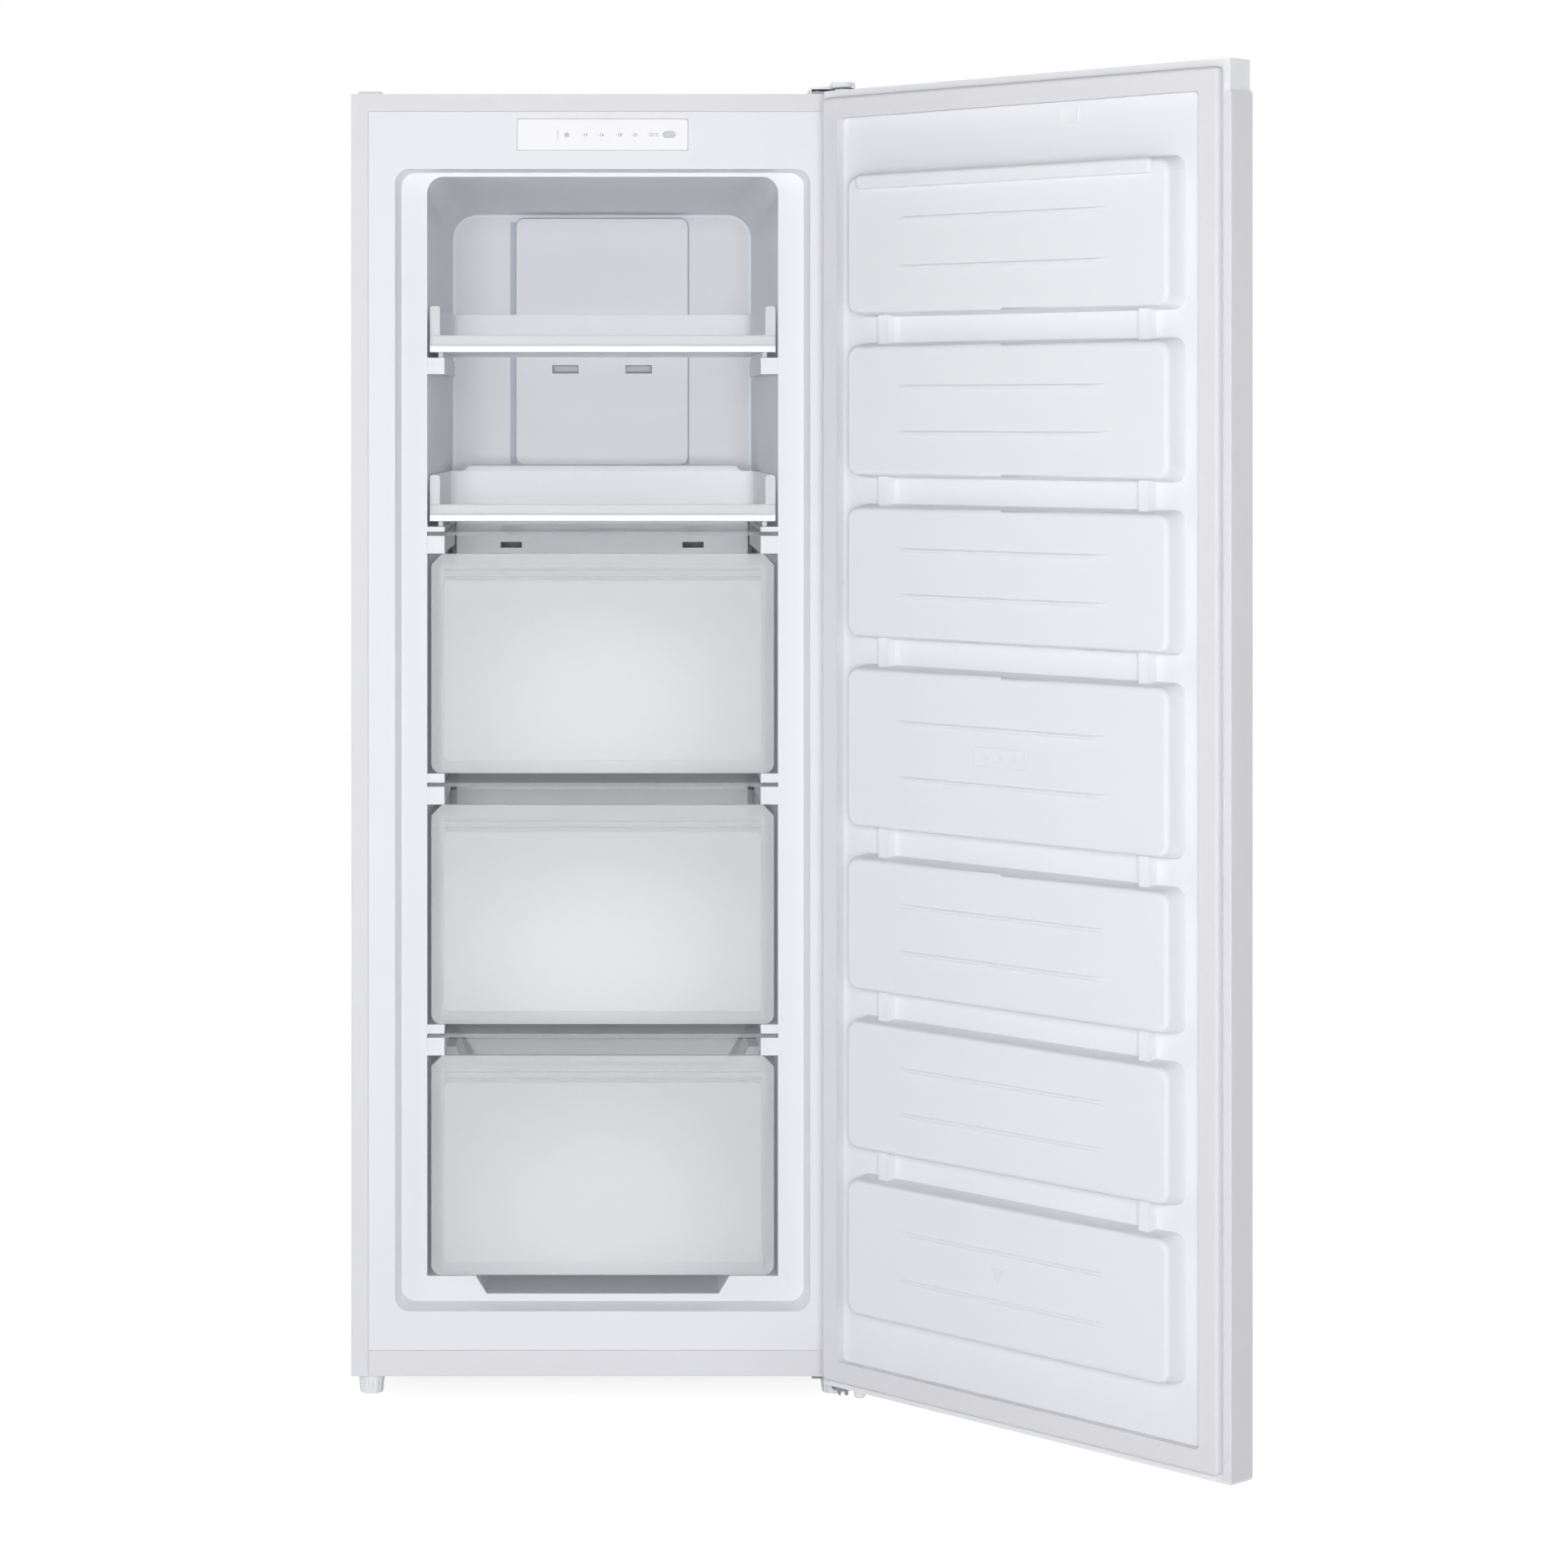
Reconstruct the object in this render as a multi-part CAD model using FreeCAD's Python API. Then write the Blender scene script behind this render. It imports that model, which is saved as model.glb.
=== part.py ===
import FreeCAD
import Part
import math
import os

# Upright freezer with its door standing open.
#
# Everything is modelled in the cabinet's own frame, in millimetres: X = 0 on the cabinet's middle
# plane with +X to the right, Y = 0 on the cabinet's front face with +Y to the back, and Z = 0 at
# the cabinet's bottom edge.  export() moves each piece so that the origin is the centre of the
# front left foot's sole, on the floor.

V = FreeCAD.Vector
RIGHT = V(1, 0, 0)
BACK = V(0, 1, 0)
UP = V(0, 0, 1)
SIDES = (-1, 1)

# ---- cabinet ---------------------------------------------------------------------------------
CABINET_W = 550.0
CABINET_H = 1402.0
CABINET_D = 508.0
SHEET = 0.8                 # painted sheet of the shell, trim, panels and door skin
SIDE_FLANGE = 18.7          # front flange of the side panels
TOP_FLANGE = 19.0           # front flange of the top
TRIM_H = 28.4               # bottom front trim strip
TRIM_D = 12.0
SEAM = 0.3                  # hairline between fixed pieces that lie edge to edge
RUN = 0.3                   # gap between pieces that move past each other
FIT = 0.06                  # radial play of a pin in its bush
SCREW_FIT = 0.1             # radial play round a screw or stud

# ---- inner liner -----------------------------------------------------------------------------
LINER_T = 2.0
STEP_W = 454.0              # stepped recess that takes the door's pads
STEP_BOTTOM = 71.0
STEP_TOP = CABINET_H - 82.0
STEP_DEPTH = 24.0
STEP_DRAFT = 6.0
STEP_R = 16.0
MOUTH_W = 386.0             # cavity at the step
MOUTH_BOTTOM = STEP_BOTTOM + 14.0
MOUTH_TOP = STEP_TOP - 7.0
MOUTH_R = 18.0
CAVITY_BACK = 440.0
CAVITY_BACK_W = 361.0
CAVITY_BACK_TOP = MOUTH_TOP - 20.0
CAVITY_BACK_R = 30.0
HUMP_Y = 232.0              # raised floor over the machine compartment
HUMP_TOP = 262.0
HUMP_SLOPE = 34.0
HUMP_SIDE_FOOT = 122.0      # sloping sides of the channel over the hump
HUMP_SIDE_HALF = 169.0
HUMP_SIDE_TOP = HUMP_TOP + 60.0
RAIL_HALF = 174.0           # half the width left free between the rails
RAIL_BACK = 338.0
RAIL_R = 3.0
RUNNER_TOP_HALF = 139.5     # floor runner blocks beside the middle channel
RUNNER_FOOT_HALF = 127.5

# ---- what stands in the cavity -----------------------------------------------------------------
FRONTS_Y = 26.0             # plane of the drawer fronts and tray lips
DRAWER_COUNT = 3
DRAWER_PITCH = (MOUTH_TOP - MOUTH_BOTTOM) * 0.2248
DRAWER_REST = MOUTH_BOTTOM + 19.7       # lowest drawer, on the floor runners
DRAWER_BOTTOMS = [DRAWER_REST + DRAWER_PITCH * i for i in reversed(range(DRAWER_COUNT))]
DRAWER_H = DRAWER_PITCH - 34.5
DRAWER_HALF = 188.6
FRONT_T = 9.0
FRONT_R = 11.0
FRONT_CHAMFER = 12.0
PANEL_PROUD = 1.6           # raised field on each drawer front
PANEL_MARGIN = 14.0
GRIP_DROP = 17.0            # grip grooves below the drawer front's top edge
GRIP_PITCH = 7.5
GRIP_DEPTH = 2.6
TUB_BACKS = (326.0, 326.0, 222.0)
TUB_TOP_HALF = 182.0
TUB_FOOT_HALF = 180.0
TUB_H = DRAWER_H - 12.6
TUB_T = 2.4
TUB_R = 4.0
TUB_RIM = 3.0
TUB_BACK_RAKE = 8.0
FLOOR_RIB_XS = (-112.0, -40.0, 46.0, 104.0)
SHELF_RISE = 20.0           # shelf's underside above the drawer front's top edge
SHELF_T = 4.0
SHELF_BACK = 336.0
LOWER_TRAY = DRAWER_REST + DRAWER_PITCH * DRAWER_COUNT + 1.0
UPPER_TRAY = LOWER_TRAY + (MOUTH_TOP - LOWER_TRAY) * 0.4906
TRAY_BOTTOMS = (UPPER_TRAY, LOWER_TRAY)
TRAY_BACKS = (402.0, 340.0)
TRAY_H = 51.0
TRAY_HALF = 189.2
TRAY_T = 2.2
TRAY_LIP_H = 19.0
TRAY_POST_W = 11.0
TRAY_RIB_H = 5.5
TRAY_RAIL_H = 18.0
WALL_GAP = 2.6              # trays and shelves to the cavity's side wall

# ---- cold air parts --------------------------------------------------------------------------
COVER_T = 2.5
DUCT_HALF = 103.0
DUCT_PROUD = 15.0
DUCT_TOP = CAVITY_BACK_TOP - 6.0
DUCT_SLOT_X = 44.0
DUCT_SLOT_Z = UPPER_TRAY - 14.0
DUCT_SLOT = (31.5, 10.0)
EVAP_COVER_HALF = 172.0
EVAP_COVER_Y = 345.0
EVAP_COVER_TOP = LOWER_TRAY + 57.0
EVAP_COVER_BOTTOM = HUMP_TOP + 24.0
EVAP_SLOT_X = 107.5
EVAP_SLOT_ZS = (LOWER_TRAY - 17.4, LOWER_TRAY - 36.4)
EVAP_SLOT = (25.0, 7.0)
DRIP_SLOT = (12.0, 3.5)
DRIP_SLOT_Z = EVAP_COVER_BOTTOM + 40.8
RETURN_SLOTS = 9
RETURN_PITCH = 22.0
COIL_HALF = 148.0
COIL_Z0 = EVAP_COVER_BOTTOM + 59.0
COIL_Z1 = EVAP_COVER_TOP - 151.0
COIL_FINS = 12
COIL_ROWS = 5
TUBE_R = 4.0
FAN_Z = EVAP_COVER_TOP - 66.0
FAN_R = 44.0
FAN_HUB_R = 17.0
FAN_BLADES = 5
FAN_Y = 384.0
FAN_DEPTH = 16.0
FAN_SHAFT_R = 2.0
MOTOR_R = 24.0
MOTOR_Y = 406.0

# ---- machine compartment -----------------------------------------------------------------------
MACHINE_Y = 290.0
MACHINE_TOP = 205.0
COMPRESSOR_X = 62.0
COMPRESSOR_Y = 398.0
COMPRESSOR_R = 64.0
COMPRESSOR_Z0 = 26.0
COMPRESSOR_H = 132.0
MOUNT_H = 18.0
MOUNT_R = 10.0
MOUNT_X = 82.0
MOUNT_Y = 50.0
STUD_R = 3.0
PAN_W = 120.0
PAN_D = 84.0
PAN_H = 16.0
PAN_T = 2.0
DRAIN_X = 62.0
DRAIN_R = 8.0
DRAIN_BORE_R = 6.0
CONDENSER_R = 2.4
CONDENSER_RUNS = 8
CONDENSER_PITCH = 50.0
CONDENSER_Z0 = MACHINE_TOP + 95.0
CONDENSER_Z1 = CABINET_H - 112.0

# ---- feet ------------------------------------------------------------------------------------
FOOT_H = 21.5
FOOT_INSET = 21.4           # foot centre from the cabinet's side
FOOT_Y = 22.0
FOOT_TOP_R = 14.3
FOOT_SOLE_R = 12.6
FOOT_GROOVES = 12
FOOT_GROOVE_R = 2.8
FOOT_GROOVE_DEPTH = 0.9
LEVEL_STUD_R = 4.0
LEVEL_STUD_H = 16.0
NUT_R = 7.5
NUT_H = 6.0
REAR_FOOT_Y = 486.0
PLATE_T = 1.2

# ---- controls --------------------------------------------------------------------------------
PANEL_W = 186.0
PANEL_H = 33.6
PANEL_R = 3.0
PANEL_Z = CABINET_H - 44.4
PANEL_T = 3.0
PANEL_STAND = 0.6
BUTTON_X = 72.8
BUTTON_W = 13.0
BUTTON_H = 6.4
BUTTON_STAND = 0.9
BUTTON_TRAVEL = 0.8
LIGHT_XS = (-19.6, -1.8, 17.9, 34.8, 55.4)
BOARD_Y = 10.0
BOARD_T = 1.6
BOARD_W = 160.0
BOARD_H = 24.0

# ---- door, described closed and swung open at export -------------------------------------------
DOOR_OPEN = 133.3           # degrees
DOOR_T = 36.0
DOOR_GAP = 12.0             # closed door's inner face in front of the cabinet
PIN_INSET = 13.8            # hinge axis from the door's right edge
PIN_DEPTH = 17.65           # hinge axis in front of the door's inner face
PIN_R = 4.0
PIN_GRIP = 16.0
CAP_H = 32.0
CAP_INSET = 1.5
CAP_T = 2.5
CAP_TONGUE = 10.0
FOOT_CAP_T = 2.5
SKIN_RETURN = 10.0
LINER_INSET = 11.5          # door liner's edge from the door's edges
PAD_HALF = 220.0
PAD_RISE = 26.0
PAD_DRAFT = 4.0
PAD_R = 14.0
PAD_ROUND = 5.0
PAD_HEIGHTS = (151, 143, 147, 176, 145, 145, 154)       # in proportion, from the lowest pad up
PAD_GAP = 26.8
PAD_BOTTOM = MOUTH_BOTTOM + 2.5
PAD_TOP = MOUTH_TOP - 3.5
PAD_RIB_HALF = 154.0
PAD_RIB_W = 7.0
PAD_RIB_RISE = 1.6
BAR_HALF = 199.0
BAR_TOP = PAD_TOP - 2.5
BAR_H = 16.0
BAR_RISE = 6.0
BRIDGE_X = 176.0
BRIDGE_W = 13.0
BRIDGE_RISE = 12.0
CLIP_X = -70.2
CLIP_Z = CABINET_H - 45.0
CLIP_W = 24.0
CLIP_H = 15.0
CLIP_RISE = 2.4
GASKET_MARGIN = 8.0
GASKET_W = 23.0
GASKET_RISE = 11.0
GASKET_ROUND = 4.0

# ---- hinges ----------------------------------------------------------------------------------
HINGE_T = 3.0
HINGE_LEFT = 229.0
HINGE_BACK = 60.0
HINGE_NOSE_R = 12.0
HINGE_STEP_Y = 2.0
HINGE_STEP_D = 4.0
UPPER_RISE = 3.5            # upper arm's underside above the door
LOWER_DROP = 2.5            # lower arm's top below the door
BUSH_R = 7.0
BUSH_H = 18.0
BUSH_FLANGE_R = 9.0
HINGE_COVER_T = 3.0
HINGE_SCREW_R = 2.5
HINGE_HEAD_R = 4.4
HINGE_HEAD_H = 2.2
HINGE_SCREWS = ((234.5, 15.2), (236.0, 50.0), (266.0, 50.0))
HINGE_LUGS = ((-5.7, -3.2), (1.3, 4.8))     # lugs folded down under the lower arm
HINGE_LUG_REACH = 9.5
HINGE_LUG_H = 5.3
STOP_T = 2.0
STOP_REACH = 24.0
STOP_BOSS_R = 6.0
STOP_BOSS_H = 9.0
STOP_PLATE_END = 90.0
STOP_SCREWS = (70.0, 81.0)

# ---- places that follow from the sizes -----------------------------------------------------------
HALF = CABINET_W / 2
INNER_HALF = HALF - SHEET
PIN_X = HALF - PIN_INSET
DOOR_FACE = -DOOR_GAP
PIN_Y = DOOR_FACE - PIN_DEPTH
DOOR_FRONT = DOOR_FACE - DOOR_T
FOOT_X = HALF - FOOT_INSET
TAPER = (MOUTH_W - CAVITY_BACK_W) / 2 / (CAVITY_BACK - STEP_DEPTH)
BACK_PANEL_Y = CABINET_D - SHEET
ORIGIN_SHIFT = V(FOOT_X, -FOOT_Y, FOOT_H)


# ---- helpers ---------------------------------------------------------------------------------
def box(x0, x1, y0, y1, z0, z1):
    return Part.makeBox(x1 - x0, y1 - y0, z1 - z0, V(x0, y0, z0))


def rod(radius, start, direction, length):
    return Part.makeCylinder(radius, length, start, direction)


def join(solids):
    first = solids[0]
    if len(solids) > 1:
        first = first.multiFuse(solids[1:])
    return first.removeSplitter()


def outline(points, radii):
    """Closed outline through the points, with each corner rounded by its own radius."""
    count = len(points)
    corners = []
    for i, corner in enumerate(points):
        if radii[i] == 0:
            corners.append((corner, None, corner))
            continue
        back = (points[i - 1] - corner).normalize()
        ahead = (points[(i + 1) % count] - corner).normalize()
        half_angle = back.getAngle(ahead) / 2
        bisector = (back + ahead).normalize()
        reach = radii[i] / math.tan(half_angle)
        middle = corner + bisector * (radii[i] / math.sin(half_angle) - radii[i])
        corners.append((corner + back * reach, middle, corner + ahead * reach))
    edges = []
    for i, (start, middle, end) in enumerate(corners):
        if middle is not None:
            edges.append(Part.Arc(start, middle, end).toShape())
        following = corners[(i + 1) % count][0]
        if end.distanceToPoint(following) > 1e-6:
            edges.append(Part.makeLine(end, following))
    return Part.Wire(edges)


def upright(half, z0, z1, y, radius):
    """Outline of a rounded rectangle that stands in the plane Y = y, about the middle plane."""
    points = [V(-half, y, z0), V(half, y, z0), V(half, y, z1), V(-half, y, z1)]
    return outline(points, [radius] * 4)


def slab_y(half, z0, z1, y0, y1, radius):
    return Part.Face(upright(half, z0, z1, y0, radius)).extrude(BACK * (y1 - y0))


def prism_x(points, x0, x1, radii=None):
    """Solid with a (y, z) section, from x0 to x1."""
    corners = [V(x0, y, z) for y, z in points]
    face = Part.Face(outline(corners, radii or [0] * len(corners)))
    return face.extrude(RIGHT * (x1 - x0))


def prism_y(points, y0, y1, radii=None):
    """Solid with an (x, z) section, from y0 to y1."""
    corners = [V(x, y0, z) for x, z in points]
    face = Part.Face(outline(corners, radii or [0] * len(corners)))
    return face.extrude(BACK * (y1 - y0))


def prism_z(points, z0, z1, radii=None):
    """Solid with an (x, y) section, from z0 to z1."""
    corners = [V(x, y, z0) for x, y in points]
    face = Part.Face(outline(corners, radii or [0] * len(corners)))
    return face.extrude(UP * (z1 - z0))


def rectangle(a0, a1, b0, b1):
    return [(a0, b0), (a1, b0), (a1, b1), (a0, b1)]


def turned(profile, x, y):
    """Solid of revolution about the upright axis at x, y, from (radius, z) points."""
    corners = [V(x + radius, y, z) for radius, z in profile]
    wire = Part.makePolygon(corners + [corners[0]])
    return Part.Face(wire).revolve(V(x, y, 0), UP, 360)


def bent_tube(radius, points, bend):
    """Tube along straight runs joined by tangent arcs of radius bend."""
    corners = [V(*point) for point in points]
    edges = []
    start = corners[0]
    for i in range(1, len(corners) - 1):
        back = (corners[i - 1] - corners[i]).normalize()
        ahead = (corners[i + 1] - corners[i]).normalize()
        half_angle = back.getAngle(ahead) / 2
        reach = bend / math.tan(half_angle)
        bisector = (back + ahead).normalize()
        middle = corners[i] + bisector * (bend / math.sin(half_angle) - bend)
        arc_start = corners[i] + back * reach
        arc_end = corners[i] + ahead * reach
        if start.distanceToPoint(arc_start) > 1e-6:
            edges.append(Part.makeLine(start, arc_start))
        edges.append(Part.Arc(arc_start, middle, arc_end).toShape())
        start = arc_end
    edges.append(Part.makeLine(start, corners[-1]))
    circle = Part.makeCircle(radius, corners[0], corners[1] - corners[0])
    return Part.Wire(edges).makePipeShell([Part.Wire(circle)], True, False)


def round_edges(solid, radius, chosen):
    return solid.makeFillet(radius, [edge for edge in solid.Edges if chosen(edge)])


def wall_half(y):
    """Half the cavity's width at depth y."""
    return MOUTH_W / 2 - TAPER * (y - STEP_DEPTH)


def pad_spans():
    """(bottom, top) of each door pad, from the lowest up."""
    count = len(PAD_HEIGHTS)
    scale = (PAD_TOP - PAD_BOTTOM - PAD_GAP * (count - 1)) / sum(PAD_HEIGHTS)
    spans = []
    bottom = PAD_BOTTOM
    for height in PAD_HEIGHTS:
        spans.append((bottom, bottom + height * scale))
        bottom += height * scale + PAD_GAP
    return spans


def swing(shape):
    """Turns a piece of the closed door to where it stands open."""
    opened = shape.copy()
    opened.rotate(V(PIN_X, PIN_Y, 0), UP, DOOR_OPEN)
    return opened


def export(name, shape):
    placed = shape.copy()
    placed.translate(ORIGIN_SHIFT)
    placed.exportStep("parts/" + name + ".step")


# ---- cabinet ---------------------------------------------------------------------------------
def make_cabinet_shell():
    outer = box(-HALF, HALF, 0, CABINET_D, 0, CABINET_H)
    hollow = box(-INNER_HALF, INNER_HALF, SHEET, CABINET_D + 1, -1, CABINET_H - SHEET)
    front_half = HALF - SIDE_FLANGE
    front = box(-front_half, front_half, -1, SHEET + 1, -1, CABINET_H - TOP_FLANGE)
    shell = outer.cut(hollow).cut(front)
    for side in SIDES:
        mitre = [(side * HALF, CABINET_H), (side * front_half, CABINET_H - TOP_FLANGE),
                 (side * front_half, CABINET_H - TOP_FLANGE - SEAM * 2),
                 (side * HALF, CABINET_H - SEAM * 2)]
        shell = shell.cut(prism_y(mitre, -1, SHEET / 2))
    for x, y in HINGE_SCREWS:
        shell = shell.cut(rod(HINGE_SCREW_R + SCREW_FIT, V(x, y, CABINET_H - 2), UP, 4))
    return shell


def rail_spans():
    """(bottom, top) of every rail: one under the upper tray, two round each shelf."""
    tray_rail_top = TRAY_BOTTOMS[0] - TRAY_RIB_H - RUN
    spans = [(tray_rail_top - TRAY_RAIL_H, tray_rail_top)]
    tops = (TRAY_BOTTOMS[1] - TRAY_RIB_H, DRAWER_BOTTOMS[0], DRAWER_BOTTOMS[1])
    for bottom, top in zip(DRAWER_BOTTOMS, tops):
        front_top = bottom + DRAWER_H
        shelf = front_top + SHELF_RISE
        spans.append((front_top + RUN, shelf - RUN))
        spans.append((shelf + SHELF_T + RUN, top - RUN))
    return spans


def liner_form(skin):
    """The space inside the liner, grown outward by the sheet's thickness skin."""
    step_half = STEP_W / 2
    step = Part.makeLoft([
        upright(step_half + skin, STEP_BOTTOM - skin, STEP_TOP + skin, 0, STEP_R + skin),
        upright(step_half - STEP_DRAFT + skin, STEP_BOTTOM + STEP_DRAFT - skin,
                STEP_TOP - STEP_DRAFT / 2 + skin, STEP_DEPTH + skin, STEP_R + skin),
    ], True, True)
    cavity = Part.makeLoft([
        upright(MOUTH_W / 2 + skin, MOUTH_BOTTOM - skin, MOUTH_TOP + skin, STEP_DEPTH - 1, MOUTH_R + skin),
        upright(CAVITY_BACK_W / 2 + skin, MOUTH_BOTTOM - skin, CAVITY_BACK_TOP + skin,
                CAVITY_BACK + skin, CAVITY_BACK_R + skin),
    ], True, True)
    form = step.fuse(cavity)
    hump = [(HUMP_Y + skin, 0), (HUMP_Y + skin, HUMP_TOP - HUMP_SLOPE - skin),
            (HUMP_Y + HUMP_SLOPE + skin, HUMP_TOP - skin), (CAVITY_BACK + 50, HUMP_TOP - skin),
            (CAVITY_BACK + 50, 0)]
    form = form.cut(prism_x(hump, -HALF, HALF, [0, 12, 12, 0, 0]))
    rail_front = STEP_DEPTH + 2
    cuts = []
    for side in SIDES:
        for bottom, top in rail_spans():
            section = [(side * (RAIL_HALF + skin), bottom + skin), (side * HALF, bottom + skin),
                       (side * HALF, top - skin), (side * (RAIL_HALF + skin), top - skin)]
            cuts.append(prism_y(section, rail_front + skin, RAIL_BACK - skin))
        runner_top = DRAWER_BOTTOMS[2] - RUN - skin
        runner = [(side * (RUNNER_FOOT_HALF + skin), 0), (side * (RUNNER_FOOT_HALF + skin), MOUTH_BOTTOM),
                  (side * (RUNNER_TOP_HALF + skin), runner_top), (side * HALF, runner_top),
                  (side * HALF, 0)]
        cuts.append(prism_y(runner, STEP_DEPTH + skin, HUMP_Y + HUMP_SLOPE))
        grow = skin * 1.3
        bank = [(side * (HUMP_SIDE_FOOT + grow), 0), (side * (HUMP_SIDE_FOOT + grow), HUMP_TOP - skin),
                (side * (HUMP_SIDE_HALF - 11 + grow), HUMP_SIDE_TOP - 26),
                (side * (HUMP_SIDE_HALF + grow), HUMP_SIDE_TOP - skin), (side * HALF, HUMP_SIDE_TOP - skin),
                (side * HALF, 0)]
        cuts.append(prism_y(bank, HUMP_Y + 4 + skin, EVAP_COVER_Y - 3 - skin, [0, 0, 12, 0, 0, 0]))
    return form.cut(cuts)


def make_inner_liner():
    flange_half = HALF - SIDE_FLANGE - SEAM
    flange = box(-flange_half, flange_half, 0, LINER_T, TRIM_H + SEAM, CABINET_H - TOP_FLANGE - SEAM)
    window = slab_y(PANEL_W / 2 + SEAM, PANEL_Z - PANEL_H / 2 - SEAM, PANEL_Z + PANEL_H / 2 + SEAM,
                    -1, LINER_T + 1, PANEL_R + SEAM)
    sheet = join([flange.cut(window), liner_form(LINER_T)]).cut(liner_form(0))
    drain = rod(DRAIN_R + SEAM, V(DRAIN_X, COMPRESSOR_Y, HUMP_TOP - 10), UP, 20)
    return sheet.cut(drain)


def make_insulation():
    core = box(-INNER_HALF + SEAM, INNER_HALF - SEAM, LINER_T + SEAM, BACK_PANEL_Y - SEAM,
               PLATE_T + SEAM, CABINET_H - SHEET - SEAM)
    machine = box(-HALF, HALF, MACHINE_Y - SEAM, CABINET_D, -1, MACHINE_TOP + SHEET + SEAM)
    trim = box(-HALF, HALF, 0, TRIM_D + SEAM, 0, TRIM_H + SEAM)
    controls = box(-PANEL_W / 2, PANEL_W / 2, 0, BOARD_Y + BOARD_T + 6,
                   PANEL_Z - PANEL_H / 2, PANEL_Z + PANEL_H / 2)
    condenser = box(-CONDENSER_PITCH * CONDENSER_RUNS / 2, CONDENSER_PITCH * CONDENSER_RUNS / 2,
                    BACK_PANEL_Y - CONDENSER_R * 2 - 1, CABINET_D,
                    MACHINE_TOP, CONDENSER_Z1 + CONDENSER_PITCH)
    core = core.cut([machine, trim, controls, condenser, liner_form(LINER_T)])
    holes = [rod(DRAIN_R + SEAM, V(DRAIN_X, COMPRESSOR_Y, MACHINE_TOP), UP, 90)]
    for x, y in HINGE_SCREWS:
        holes.append(rod(HINGE_SCREW_R + SCREW_FIT, V(x, y, CABINET_H - 14), UP, 14))
        holes.append(rod(HINGE_SCREW_R + SCREW_FIT, V(x, y, 0), UP, 14))
    for side in SIDES:
        holes.append(rod(NUT_R + 1, V(side * FOOT_X, FOOT_Y, 0), UP, LEVEL_STUD_H + 4))
    return core.cut(holes)


def make_bottom_front_trim():
    """Channel that closes the cabinet's front below the liner."""
    half = HALF - SIDE_FLANGE - SEAM
    channel = [(0, 0), (TRIM_D, 0), (TRIM_D, SHEET), (SHEET, SHEET), (SHEET, TRIM_H - SHEET),
               (TRIM_D, TRIM_H - SHEET), (TRIM_D, TRIM_H), (0, TRIM_H)]
    return prism_x(channel, -half, half)


def make_back_panel():
    half = INNER_HALF - SEAM
    return box(-half, half, BACK_PANEL_Y, CABINET_D, MACHINE_TOP + SHEET + SEAM,
               CABINET_H - SHEET - SEAM)


def make_base_plate():
    half = INNER_HALF - SEAM
    plate = box(-half, half, TRIM_D + SEAM, MACHINE_Y - SEAM, 0, PLATE_T)
    holes = []
    for side in SIDES:
        holes.append(rod(LEVEL_STUD_R + SCREW_FIT, V(side * FOOT_X, FOOT_Y, -1), UP, 4))
    for x, y in HINGE_SCREWS:
        holes.append(rod(HINGE_SCREW_R + SCREW_FIT, V(x, y, -1), UP, 4))
    return plate.cut(holes)


def make_foot_nuts():
    """Two hexagon nuts welded on the base plate."""
    nuts = []
    for side in SIDES:
        corners = []
        for i in range(6):
            angle = math.radians(60 * i)
            corners.append((side * FOOT_X + NUT_R * math.cos(angle), FOOT_Y + NUT_R * math.sin(angle)))
        nut = prism_z(corners, PLATE_T, PLATE_T + NUT_H)
        bore = rod(LEVEL_STUD_R + SCREW_FIT, V(side * FOOT_X, FOOT_Y, PLATE_T - 1), UP, NUT_H + 2)
        nuts.append(nut.cut(bore))
    return Part.makeCompound(nuts)


def make_front_foot(side, top):
    """Levelling foot: a grooved, tapering knob under a threaded stud."""
    x = side * FOOT_X
    profile = [(0, -FOOT_H), (FOOT_SOLE_R - 1, -FOOT_H), (FOOT_SOLE_R, 1 - FOOT_H),
               (FOOT_TOP_R, top - 3), (FOOT_TOP_R, top), (LEVEL_STUD_R, top),
               (LEVEL_STUD_R, LEVEL_STUD_H), (0, LEVEL_STUD_H)]
    foot = turned(profile, x, FOOT_Y)
    lean = V(FOOT_TOP_R - FOOT_SOLE_R, 0, top + FOOT_H)
    grooves = []
    for i in range(FOOT_GROOVES):
        groove = rod(FOOT_GROOVE_R, V(FOOT_SOLE_R + FOOT_GROOVE_R - FOOT_GROOVE_DEPTH, 0, -FOOT_H - 1), lean,
                     top + FOOT_H - 3)
        groove.rotate(V(0, 0, 0), UP, 360.0 * (i + 0.5) / FOOT_GROOVES)
        groove.translate(V(x, FOOT_Y, 0))
        grooves.append(groove)
    return foot.cut(grooves)


def make_rear_feet():
    """Two fixed skids under the compressor tray."""
    feet = []
    for side in SIDES:
        x = side * FOOT_X
        foot = Part.makeLoft([
            outline([V(x - 11, REAR_FOOT_Y - 9, -FOOT_H), V(x + 11, REAR_FOOT_Y - 9, -FOOT_H),
                     V(x + 11, REAR_FOOT_Y + 9, -FOOT_H), V(x - 11, REAR_FOOT_Y + 9, -FOOT_H)], [4] * 4),
            outline([V(x - 15, REAR_FOOT_Y - 13, 0), V(x + 15, REAR_FOOT_Y - 13, 0),
                     V(x + 15, REAR_FOOT_Y + 13, 0), V(x - 15, REAR_FOOT_Y + 13, 0)], [4] * 4),
        ], True, True)
        feet.append(foot)
    return Part.makeCompound(feet)


def make_hinge_hole_cover():
    """Cap over the spare hinge holes, on the left of the top."""
    x = -HALF + FOOT_INSET
    plate = prism_z(rectangle(x - 14, x + 12, 5, 46), CABINET_H, CABINET_H + 3, [4] * 4)
    return round_edges(plate, 1.2, lambda edge: edge.CenterOfMass.z > CABINET_H + 2.9)


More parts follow.
